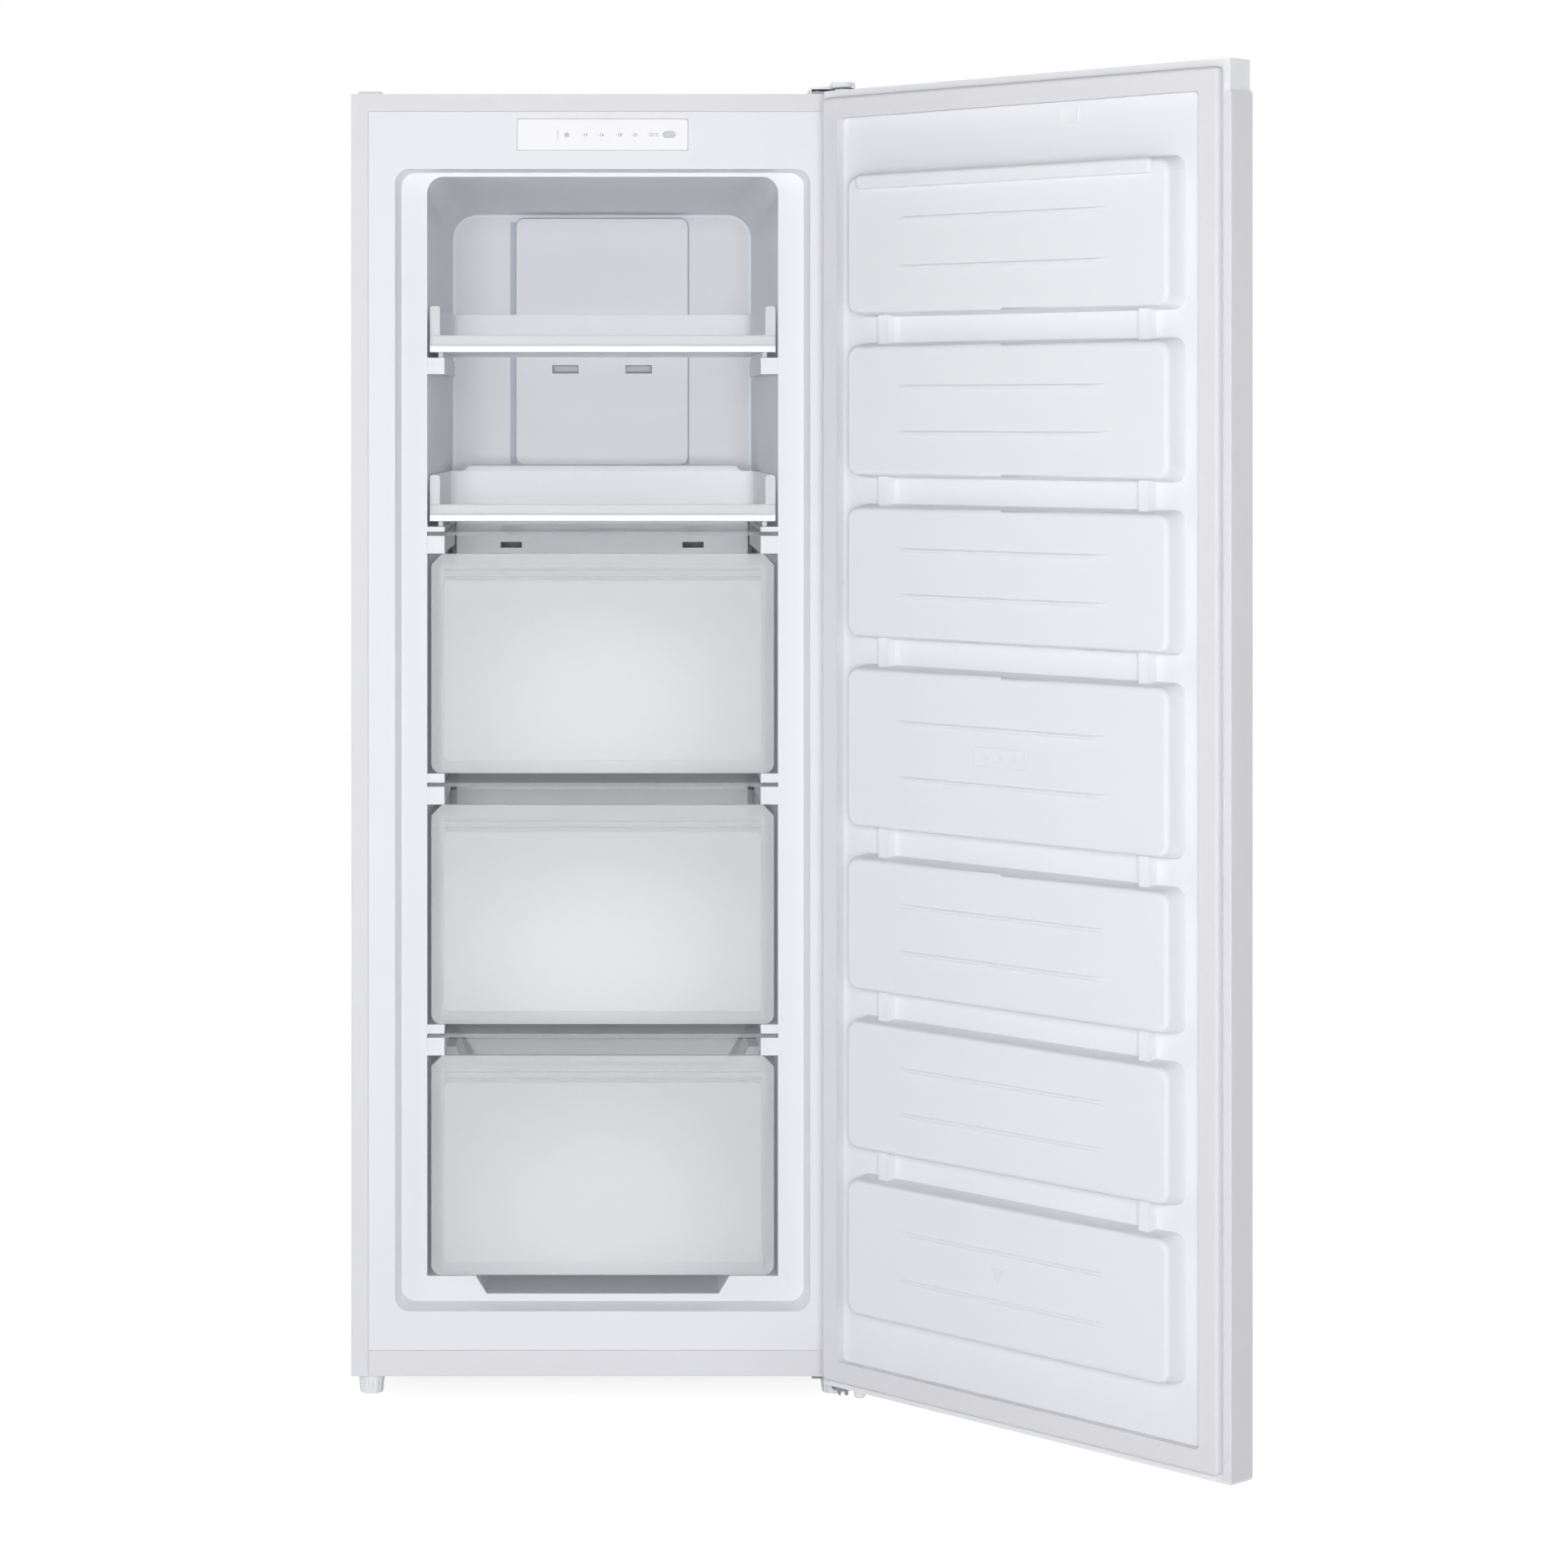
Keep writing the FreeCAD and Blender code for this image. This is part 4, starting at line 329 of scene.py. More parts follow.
def moulded_abs(name, colour, grain_mm=0.9):
    """Injection-moulded ABS from a spark-eroded tool: a fine even grain that keeps it matt."""
    material, tree, shader, place = start_material(name)
    shader.inputs["IOR"].default_value = 1.52
    grain = add_node(tree, "ShaderNodeTexNoise", values={"Scale": per_metre(grain_mm), "Detail": 2.0},
                     links={"Vector": place})
    drift = add_node(tree, "ShaderNodeTexNoise", values={"Scale": per_metre(60), "Detail": 1.0},
                     links={"Vector": place})
    tone(tree, shader, drift.outputs["Fac"], shade(colour, 0.98), shade(colour, 1.01))
    tree.links.new(spread(tree, grain.outputs["Fac"], 0.38, 0.52), shader.inputs["Roughness"])
    relief(tree, shader, grain.outputs["Fac"], 0.03, 0.5)
    return material


def clear_polystyrene(colour, name, cloud, gloss, lit_spot=None, lip=None, shade_share=FORWARD_SHADE):
    """Crystal polystyrene with a milky haze, injection moulded: polished faces, slanting walls that
    look denser than flat ones, and, round a spot if one is given, a haze that is painted thicker as a
    painted pool of light. The haze scatters forwards, so light goes on through a wall more freely than
    the eye sees through it. A lip at the front, given as its place and depth, is painted a shade
    darker, as painted shade."""
    material, tree, shader, place = start_material(name)
    shader.inputs["IOR"].default_value = 1.59
    stretch = add_node(tree, "ShaderNodeMapping", values={"Scale": (1.0, 1.0, 0.3)},
                       links={"Vector": place})
    flow = add_node(tree, "ShaderNodeTexNoise", values={"Scale": per_metre(70), "Detail": 2.0},
                    links={"Vector": stretch.outputs["Vector"]})
    # The front of the lip is painted darker than the rest of the tray, as painted shade.
    if lip:
        start, blend = lip
        axes = add_node(tree, "ShaderNodeSeparateXYZ", links={"Vector": place})
        depth = add_node(tree, "ShaderNodeMapRange", values={"From Min": start, "From Max": start + blend},
                         links={"Value": axes.outputs["Y"]})
        tone(tree, shader, depth.outputs["Result"], shade(colour, PAINTED_LIP_SHADE), colour)
    else:
        tone(tree, shader, flow.outputs["Fac"], shade(colour, 0.98), colour)
    tree.links.new(spread(tree, flow.outputs["Fac"], gloss * 0.7, gloss * 1.3), shader.inputs["Roughness"])
    slant = add_node(tree, "ShaderNodeLayerWeight", values={"Blend": 0.25})
    haze = spread(tree, slant.outputs["Facing"], cloud, EDGE_HAZE)
    # Round the spot the haze is painted thicker, so the front looks brighter there: a painted pool of light.
    if lit_spot:
        middle, reach = lit_spot
        inverse = tuple(1 / axis for axis in reach)
        offset = tuple(-spot * share for spot, share in zip(middle, inverse))
        centred = add_node(tree, "ShaderNodeMapping", values={"Location": offset, "Scale": inverse},
                           links={"Vector": place})
        away = add_node(tree, "ShaderNodeVectorMath", settings={"operation": "LENGTH"},
                        links={0: centred.outputs["Vector"]})
        painted_light_haze = add_node(tree, "ShaderNodeMapRange", settings={"interpolation_type": "SMOOTHSTEP"},
                        values={"From Min": 0.1, "From Max": 1.2, "To Min": PAINTED_LIGHT_MILK, "To Max": 0.0},
                        links={"Value": away.outputs["Value"]})
        haze = add_node(tree, "ShaderNodeMath", settings={"operation": "ADD", "use_clamp": True},
                        links={0: haze, 1: painted_light_haze.outputs["Result"]}).outputs[0]
    path = add_node(tree, "ShaderNodeLightPath")
    kept = spread(tree, path.outputs["Is Shadow Ray"], 1.0, shade_share)
    alpha = add_node(tree, "ShaderNodeMath", settings={"operation": "MULTIPLY"}, links={0: haze, 1: kept})
    tree.links.new(alpha.outputs[0], shader.inputs["Alpha"])
    relief(tree, shader, flow.outputs["Fac"], 0.05, 0.3)
    return material


def soft_vinyl(colour):
    """Extruded plasticised vinyl: a dull, slightly waxy skin with fine lines along the seal."""
    material, tree, shader, place = start_material("extruded_vinyl")
    shader.inputs["IOR"].default_value = 1.53
    shader.inputs["Sheen Weight"].default_value = 0.05
    skin = add_node(tree, "ShaderNodeTexNoise", values={"Scale": per_metre(6), "Detail": 3.0},
                    links={"Vector": place})
    tone(tree, shader, skin.outputs["Fac"], shade(colour, 0.97), colour)
    tree.links.new(spread(tree, skin.outputs["Fac"], 0.45, 0.6), shader.inputs["Roughness"])
    relief(tree, shader, skin.outputs["Fac"], 0.05, 0.5)
    return material


def zinc_plated_steel():
    """Pressed steel, zinc plated: a dull grey metal with cloudy patches."""
    material, tree, shader, place = start_material("zinc_plated_steel")
    shader.inputs["Metallic"].default_value = 1.0
    cloud = add_node(tree, "ShaderNodeTexVoronoi", values={"Scale": per_metre(9)}, links={"Vector": place})
    tone(tree, shader, cloud.outputs["Distance"], linear("A4A7AC"), linear("C2C5CA"))
    tree.links.new(spread(tree, cloud.outputs["Distance"], 0.32, 0.5), shader.inputs["Roughness"])
    relief(tree, shader, cloud.outputs["Distance"], 0.03, 0.4)
    return material


def stoved_enamel():
    """Steel pot, dipped and stoved in black enamel: deep black with a soft gloss and slight runs."""
    material, tree, shader, place = start_material("black_stoved_enamel")
    runs = add_node(tree, "ShaderNodeTexNoise", values={"Scale": per_metre(14), "Detail": 3.0},
                    links={"Vector": place})
    tone(tree, shader, runs.outputs["Fac"], linear("141416"), linear("26272A"))
    tree.links.new(spread(tree, runs.outputs["Fac"], 0.22, 0.4), shader.inputs["Roughness"])
    relief(tree, shader, runs.outputs["Fac"], 0.15, 0.5)
    return material


def drawn_copper():
    """Drawn copper tube: bright where it was handled, browned elsewhere."""
    material, tree, shader, place = start_material("drawn_copper")
    shader.inputs["Metallic"].default_value = 1.0
    tarnish = add_node(tree, "ShaderNodeTexNoise", values={"Scale": per_metre(18), "Detail": 4.0},
                       links={"Vector": place})
    tone(tree, shader, tarnish.outputs["Fac"], linear("8A4F34"), linear("D08A62"))
    tree.links.new(spread(tree, tarnish.outputs["Fac"], 0.22, 0.45), shader.inputs["Roughness"])
    return material


def rolled_aluminium():
    """Rolled aluminium fin stock: a bright, finely lined grey."""
    material, tree, shader, place = start_material("rolled_aluminium")
    shader.inputs["Metallic"].default_value = 1.0
    lines = add_node(tree, "ShaderNodeTexNoise", values={"Scale": per_metre(3), "Detail": 3.0},
                     links={"Vector": place})
    tone(tree, shader, lines.outputs["Fac"], linear("B9BCC1"), linear("D9DBDF"))
    tree.links.new(spread(tree, lines.outputs["Fac"], 0.25, 0.4), shader.inputs["Roughness"])
    return material


def black_rubber():
    """Moulded nitrile rubber: a dull black with a bloom of grey."""
    material, tree, shader, place = start_material("moulded_rubber")
    bloom = add_node(tree, "ShaderNodeTexNoise", values={"Scale": per_metre(5), "Detail": 4.0},
                     links={"Vector": place})
    tone(tree, shader, bloom.outputs["Fac"], linear("161617"), linear("2B2B2D"))
    tree.links.new(spread(tree, bloom.outputs["Fac"], 0.6, 0.85), shader.inputs["Roughness"])
    relief(tree, shader, bloom.outputs["Fac"], 0.05, 0.5)
    return material


def cast_foam():
    """Polyurethane foam, cast in place: cream, with a closed skin and small cells."""
    material, tree, shader, place = start_material("polyurethane_foam")
    cells = add_node(tree, "ShaderNodeTexVoronoi", values={"Scale": per_metre(1.5)}, links={"Vector": place})
    tone(tree, shader, cells.outputs["Distance"], linear("D3C7A2"), linear("E4DCC0"))
    shader.inputs["Roughness"].default_value = 0.9
    relief(tree, shader, cells.outputs["Distance"], 0.3, 0.8)
    return material


def circuit_board():
    """Glass-fibre laminate under green solder resist: a faint weave below a clear gloss."""
    material, tree, shader, place = start_material("green_solder_resist")
    weave = add_node(tree, "ShaderNodeTexWave", values={"Scale": per_metre(3), "Distortion": 0.0},
                     links={"Vector": place})
    tone(tree, shader, weave.outputs["Fac"], linear("1E5A34"), linear("2C6E43"))
    shader.inputs["Roughness"].default_value = 0.25
    return material


def screen_ink(colour):
    """Screen-printed ink: thin, matt and slightly uneven at the edges."""
    material, tree, shader, place = start_material("screen_ink")
    mesh = add_node(tree, "ShaderNodeTexNoise", values={"Scale": per_metre(1.2), "Detail": 2.0},
                    links={"Vector": place})
    tone(tree, shader, mesh.outputs["Fac"], shade(colour, 0.85), shade(colour, 1.1))
    shader.inputs["Roughness"].default_value = 0.6
    return material


def painted_shadow_sheet(colour):
    """A dull grey sheet, painted as shadow and shade on the back wall and in the air slots, with pores drawn
    at 1.5 mm so that they show.
    """
    material, tree, shader, place = start_material("duct_cover_painted_shadow")
    pores = add_node(tree, "ShaderNodeTexVoronoi", values={"Scale": per_metre(1.5)}, links={"Vector": place})
    tone(tree, shader, pores.outputs["Distance"], shade(colour, 0.9), colour)
    shader.inputs["Roughness"].default_value = 0.85
    relief(tree, shader, pores.outputs["Distance"], 0.1, 0.6)
    return material


def blackened_steel():
    """Screw steel, black phosphated: dark grey and nearly matt, a little lighter where it was driven."""
    material, tree, shader, place = start_material("black_phosphated_steel")
    shader.inputs["Metallic"].default_value = 0.6
    worn = add_node(tree, "ShaderNodeTexNoise", values={"Scale": per_metre(2), "Detail": 3.0},
                    links={"Vector": place})
    tone(tree, shader, worn.outputs["Fac"], linear("2C2D30"), linear("515358"))
    tree.links.new(spread(tree, worn.outputs["Fac"], 0.45, 0.6), shader.inputs["Roughness"])
    return material


def dress(material, names):
    """Puts a material on every slot of these CAD nodes."""
    for name in names:
        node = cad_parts[name]
        if not node.material_slots:
            node.data.materials.append(material)
        for slot in node.material_slots:
            slot.material = material


# ---- pieces ------------------------------------------------------------------------------------
def on_cabinet(x, y, z):
    """Place of a point given in mm from the middle of the cabinet's lower front edge."""
    low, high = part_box("cabinet_shell")
    return Vector(((low[0] + high[0]) / 2 + x * MM, low[1] + y * MM, low[2] + z * MM))


def door_matrix():
    """Carries a shape from the closed door's place, in mm as above, to where the door stands open."""
    pin = on_cabinet(HINGE_X, HINGE_Y, 0)
    turn = Matrix.Rotation(math.radians(DOOR_OPEN), 4, "Z")
    return Matrix.Translation(pin) @ turn @ Matrix.Translation(-pin)


def add_bar(shape, low, high, edge_mm=0.0):
    """A bar between two corners, its edges rounded."""
    low, high = Vector(low), Vector(high)
    place = Matrix.Translation((low + high) / 2) @ Matrix.Diagonal((*(high - low), 1))
    made = bmesh.ops.create_cube(shape, size=1.0, matrix=place)
    if edge_mm:
        edges = list({edge for vert in made["verts"] for edge in vert.link_edges})
        bmesh.ops.bevel(shape, geom=edges, offset=edge_mm * MM, segments=2, profile=0.5, affect="EDGES",
                        material=-1)


def add_text(shape, words, height, middle):
    """Thin figures that face the front, their middle at that point."""
    curve = bpy.data.curves.new("figures", "FONT")
    curve.body = words
    curve.size = height / FIGURE_SHARE
    curve.align_x = "CENTER"
    curve.align_y = "CENTER"
    curve.extrude = INK_FILM * MM
    curve.resolution_u = 4
    holder = bpy.data.objects.new("figures", curve)
    mesh = bpy.data.meshes.new_from_object(holder)
    mesh.transform(Matrix.Translation(middle) @ Matrix.Rotation(math.radians(90), 4, "X"))
    shape.from_mesh(mesh)
    bpy.data.objects.remove(holder)
    bpy.data.curves.remove(curve)
    bpy.data.meshes.remove(mesh)


def verts_of(geom):
    """The vertices in an operator's result."""
    return [item for item in geom if isinstance(item, bmesh.types.BMVert)]


def faces_of(geom):
    """The faces in an operator's result."""
    return [item for item in geom if isinstance(item, bmesh.types.BMFace)]


def run_on(shape, faces, step):
    """Extrudes the end of a sweep straight on."""
    made = bmesh.ops.extrude_face_region(shape, geom=faces)["geom"]
    bmesh.ops.translate(shape, verts=verts_of(made), vec=step)
    return faces_of(made)


def turn_on(shape, faces, centre):
    """Carries the end of a sweep a quarter turn round a centre, seen from the front."""
    geom = list(faces) + list({vert for face in faces for vert in face.verts}) + \
        list({edge for face in faces for edge in face.edges})
    made = bmesh.ops.spin(shape, geom=geom, cent=centre, axis=(0, 1, 0), angle=math.radians(90), steps=8)
    return faces_of(made["geom_last"])


def sweep_arch(shape, faces, left, right, bottom, top, corner):
    """Sweeps a section up the left side, round the top corners and down the right side."""
    end = run_on(shape, faces, Vector((0, 0, top - corner - bottom)))
    end = turn_on(shape, end, Vector((left + corner, 0, top - corner)))
    end = run_on(shape, end, Vector((right - left - 2 * corner, 0, 0)))
    end = turn_on(shape, end, Vector((right - corner, 0, top - corner)))
    run_on(shape, end, Vector((0, 0, bottom - top + corner)))


def keep_piece(name, shape, material, body):
    """Turns a bmesh into a piece that moves with a body."""
    mesh = bpy.data.meshes.new(name)
    bmesh.ops.remove_doubles(shape, verts=shape.verts, dist=1e-7)
    bmesh.ops.recalc_face_normals(shape, faces=shape.faces)
    shape.to_mesh(mesh)
    shape.free()
    mesh.materials.append(material)
    piece = bpy.data.objects.new(name, mesh)
    bpy.context.scene.collection.objects.link(piece)
    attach(piece, body)
    return piece


# ---- operators -------------------------------------------------------------------------------
class FREEZER_OT_paint_steel(bpy.types.Operator):
    """Paints the cabinet and the door skin"""

    bl_idname = "freezer.paint_steel"
    bl_label = "Paint the steel"

    def execute(self, context):
        finishes = context.scene.freezer_finishes
        dress(painted_steel(finishes.enamel), [
            "cabinet_shell", "bottom_front_trim", "door_skin", "back_panel"])
        return {"FINISHED"}


class FREEZER_OT_finish_linings(bpy.types.Operator):
    """Finishes the formed linings, the air covers and the moulded fittings"""

    bl_idname = "freezer.finish_linings"
    bl_label = "Finish the linings"

    def execute(self, context):
        finishes = context.scene.freezer_finishes
        dress(formed_polystyrene(finishes.lining), ["inner_liner", "door_liner"])
        dress(moulded_abs("moulded_abs_white", finishes.fittings), [
            "duct_cover", "evaporator_cover", "upper_hinge_cover",
            "hinge_hole_cover", "door_top_cap", "door_bottom_cap", "magnet_clip", "upper_bush", "lower_bush",
            "door_stop", "front_foot_left", "front_foot_right"])
        dress(moulded_abs("moulded_abs_panel", finishes.panel, 0.6), ["control_panel"])
        dress(moulded_abs("moulded_abs_button", finishes.bezel, 0.6), ["control_button"])
        dress(soft_vinyl(finishes.seal), ["door_gasket"])
        dress(cast_foam(), ["insulation", "door_foam"])
        return {"FINISHED"}


class FREEZER_OT_print_panel(bpy.types.Operator):
    """Prints the temperature scale on the control panel"""

    bl_idname = "freezer.print_panel"
    bl_label = "Print the panel"

    def execute(self, context):
        finishes = context.scene.freezer_finishes
        low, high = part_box("control_panel")
        face = low[1] - INK_FILM * MM
        centre_z = (low[2] + high[2]) / 2
        line_z = centre_z - PRINT_DROP * MM
        shape = bmesh.new()
        for figures, x in zip(("-14", "-16", "-18", "-20", "-22\u00b0C"), LIGHT_XS):
            add_text(shape, figures, finishes.print_height, Vector((on_cabinet(x, 0, 0).x, face, line_z)))
        divider = on_cabinet(DIVIDER_X, 0, 0).x
        add_bar(shape, (divider - DIVIDER_HALF_W * MM, face, line_z - DIVIDER_HALF_H * MM),
                (divider + DIVIDER_HALF_W * MM, face + INK_FILM * MM, line_z + DIVIDER_HALF_H * MM))
        self.add_flake(shape, Vector((on_cabinet(FLAKE_X, 0, 0).x, face + INK_FILM * MM / 2, line_z)))
        keep_piece("panel_printing", shape, screen_ink(finishes.ink), "cabinet")
        self.light_lenses(face + INK_FILM * MM, centre_z)
        self.rim(Vector(low), Vector(high), finishes.bezel)
        return {"FINISHED"}

    def light_lenses(self, face, centre_z):
        """Diffusing lenses that fill the small lights' holes, level with the panel."""
        shape = bmesh.new()
        for x in LIGHT_XS:
            middle = Vector((on_cabinet(x, 0, 0).x, face + LENS_INSET * MM, centre_z - LIGHT_DROP * MM))
            turn = Matrix.Translation(middle) @ Matrix.Rotation(math.radians(90), 4, "X")
            made = bmesh.ops.create_circle(shape, cap_ends=True, segments=24, radius=LIGHT_R * MM,
                                           matrix=turn)
            faces = list({part for vert in made["verts"] for part in vert.link_faces})
            back = bmesh.ops.extrude_face_region(shape, geom=faces)["geom"]
            bmesh.ops.translate(shape, verts=verts_of(back), vec=(0, LENS_DEPTH * MM, 0))
        lens = moulded_abs("diffusing_abs_lens", linear("E4E5E8"), 0.5)
        keep_piece("panel_light_lenses", shape, lens, "cabinet")

    def rim(self, low, high, colour):
        """Thin rim that covers the joint between the panel and the cabinet's front."""
        width, proud = RIM_WIDTH * MM, RIM_PROUD * MM
        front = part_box("cabinet_shell")[0][1] - proud
        back = front + proud
        shape = bmesh.new()
        for a, b in (((low.x - width, low.z - width), (high.x + width, low.z)),
                     ((low.x - width, high.z), (high.x + width, high.z + width)),
                     ((low.x - width, low.z), (low.x, high.z)), ((high.x, low.z), (high.x + width, high.z))):
            add_bar(shape, (a[0], front, a[1]), (b[0], back, b[1]), HAIR_EDGE)
        rim = moulded_abs("moulded_abs_rim", colour, 0.6)
        keep_piece("panel_rim", shape, rim, "cabinet")

    def add_flake(self, shape, middle):
        """A plain ice crystal of three crossed bars with a barb near each tip."""
        for turn in range(FLAKE_ARMS):
            arm = self.flake_rod(*FLAKE_ARM)
            for lean in (-1, 1):
                barb = self.flake_rod(*FLAKE_BARB)
                tilt = Matrix.Rotation(lean * math.radians(FLAKE_BARB_LEAN), 4, "Y")
                barb.transform(Matrix.Translation((0, 0, FLAKE_BARB_OUT * MM)) @ tilt)
                self.pour(barb, arm)
            spun = Matrix.Rotation(math.radians(360 / FLAKE_ARMS * turn), 4, "Y")
            arm.transform(Matrix.Translation(middle) @ spun)
            self.pour(arm, shape)

    def flake_rod(self, half, length):
        """A flat rod of ink that stands up from the origin."""
        rod = bmesh.new()
        add_bar(rod, (-half * MM, -INK_FILM * MM / 2, 0.0), (half * MM, INK_FILM * MM / 2, length * MM))
        return rod

    def pour(self, source, target):
        """Adds one bmesh to another."""
        mesh = bpy.data.meshes.new("part")
        source.to_mesh(mesh)
        source.free()
        target.from_mesh(mesh)
        bpy.data.meshes.remove(mesh)


class FREEZER_OT_paint_duct_shade(bpy.types.Operator):
    """Lays a grey strip round the air duct's cover, on the back wall, as a painted shadow of the cover"""

    bl_idname = "freezer.seal_duct"
    bl_label = "Seal the duct cover"

    def execute(self, context):
        finishes = context.scene.freezer_finishes
        low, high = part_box("duct_cover")
        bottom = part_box("evaporator_cover")[1][2] + STRIP_FOOT * MM
        wall = high[1] - STRIP_SINK * MM
        front = wall - STRIP_DEPTH * MM
        width = finishes.strip_width
        corner = STRIP_CORNER * MM + width / 2
        left, right, top = low[0] - width / 2, high[0] + width / 2, high[2] + width / 2
        shape = bmesh.new()
        section = Matrix.Diagonal((width, wall - front, 1, 1))
        start = Matrix.Translation((left, (front + wall) / 2, bottom)) @ section
        made = bmesh.ops.create_grid(shape, x_segments=1, y_segments=1, size=0.5, matrix=start)
        faces = list({face for vert in made["verts"] for face in vert.link_faces})
        sweep_arch(shape, faces, left, right, bottom, top, corner)
        # The wide flank on the left is a wider painted shadow of the cover.
        add_bar(shape, (left - FLANK_WIDTH * MM, front + FLANK_INSET * MM, bottom),
                (left, wall, top - corner * FLANK_END), FLANK_EDGE)
        keep_piece("duct_cover_strip", shape, painted_shadow_sheet(finishes.strip), "cabinet")
        # The slots' lips: the strip's grey at half, as painted shade.
        self.slot_shade_lips(painted_shadow_sheet(shade(finishes.strip, 0.5)), low[1])
        self.wall_cove(finishes.cove_highlight)
        return {"FINISHED"}

    def slot_shade_lips(self, material, face):
        """Dark lips along the edges of the duct cover's two air slots, painted shade where the slots' edges
        lie in shadow.
        """
        shape = bmesh.new()
        width, height = (size / 2 for size in DUCT_SLOT_SIZE)
        for side in (-1, 1):
            x = side * DUCT_SLOT_X
            z0, z1 = DUCT_SLOT_Z - height, DUCT_SLOT_Z + height
            outer = x + side * width
            inner = outer - side * SLOT_LIP_SIDE
            for a, b, c, d in ((x - width, x + width, z0, z0 + SLOT_LIP_BOTTOM),
                               (x - width, x + width, z1 - SLOT_LIP_TOP, z1),
                               (min(outer, inner), max(outer, inner), z0, z1)):
                low, high = on_cabinet(a, 0, c), on_cabinet(b, 0, d)
                low.y, high.y = (face + y * MM for y in SLOT_LIP_YS)
                add_bar(shape, low, high, SLOT_LIP_EDGE)
        keep_piece("duct_slot_shade_lips", shape, material, "cabinet")

    def wall_cove(self, colour):
        """Glossy fold of the lining, where the back wall runs into the sides and the ceiling, coloured whiter
        than the lining as a painted highlight.
        """
        shape = bmesh.new()
        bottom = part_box("evaporator_cover")[1][2]
        corner = on_cabinet(-BACK_WALL_HALF, BACK_WALL_Y, 0)
        radius = COVE_R * MM
        middle = Vector((corner.x + radius, corner.y - radius, bottom))
        made = bmesh.ops.create_circle(shape, cap_ends=False, segments=24, radius=radius,
                                       matrix=Matrix.Translation(middle))
        away = [vert for vert in made["verts"]
                if vert.co.x > middle.x + HAIR * MM or vert.co.y < middle.y - HAIR * MM]
        bmesh.ops.delete(shape, geom=away, context="VERTS")
        arc = sorted(shape.verts, key=lambda vert: vert.co.y)
        tip = shape.verts.new((corner.x - COVE_SINK * MM, corner.y + COVE_SINK * MM, bottom))
        face = shape.faces.new(arc + [tip])
        right = on_cabinet(BACK_WALL_HALF, 0, 0).x
        top = on_cabinet(0, 0, BACK_WALL_TOP).z
        sweep_arch(shape, [face], corner.x, right, bottom, top, BACK_WALL_CORNER * MM)
        # Its whiter colour is a painted highlight along the fold.
        gloss = formed_polystyrene(colour, "fold_polystyrene_painted_highlight", (0.12, 0.18))
        keep_piece("back_wall_cove", shape, gloss, "cabinet")


class FREEZER_OT_mark_pads(bpy.types.Operator):
    """Raises the blank marks of the moulding tool on two pads of the door"""

    bl_idname = "freezer.mark_pads"
    bl_label = "Mark the pads"

    def execute(self, context):
        finishes = context.scene.freezer_finishes
        lining = formed_polystyrene(shade(finishes.lining, 0.97))
        shape = bmesh.new()
        (x0, x1), (z0, z1) = FRAME_XS, FRAME_ZS
        for a, b, c, d in ((x0, x1, z0, z0 + MARK_LINE), (x0, x1, z1 - MARK_LINE, z1),
                           (x0, x0 + MARK_LINE, z0, z1), (x1 - MARK_LINE, x1, z0, z1)):
            add_bar(shape, on_cabinet(a, PAD_FACE - PAD_SINK, c), on_cabinet(b, PAD_FACE + MARK_RISE, d),
                    MARK_EDGE)
        for x in PLATE_XS:
            self.add_disc(shape, x, (z0 + z1) / 2, PLATE_R, MARK_RISE, 4)
        shape.transform(door_matrix())
        keep_piece("door_pad_frame", shape, lining, "door")
        shape = bmesh.new()
        outer, inner = RING_RS
        self.add_disc(shape, RING_X, RING_Z, outer, MARK_RISE, 3)
        self.add_disc(shape, RING_X, RING_Z, inner, MARK_RISE + RING_STEP, 32)
        shape.transform(door_matrix())
        keep_piece("door_pad_ring", shape, lining, "door")
        return {"FINISHED"}

    def add_disc(self, shape, x, z, radius, rise, corners):
        """A raised plate with that many corners and a dished middle."""
        middle = on_cabinet(x, PAD_FACE - PAD_SINK, z)
        turn = Matrix.Translation(middle) @ Matrix.Rotation(math.radians(-90), 4, "X")
        made = bmesh.ops.create_circle(shape, cap_ends=True, segments=corners, radius=radius * MM,
                                       matrix=turn)
        faces = list({face for vert in made["verts"] for face in vert.link_faces})
        lifted = bmesh.ops.extrude_face_region(shape, geom=faces)["geom"]
        bmesh.ops.translate(shape, verts=verts_of(lifted), vec=(0, (rise + PAD_SINK) * MM, 0))
        bmesh.ops.inset_region(shape, faces=faces_of(lifted), thickness=radius * DISH_RIM * MM,
                               depth=-rise * DISH_DEPTH * MM)


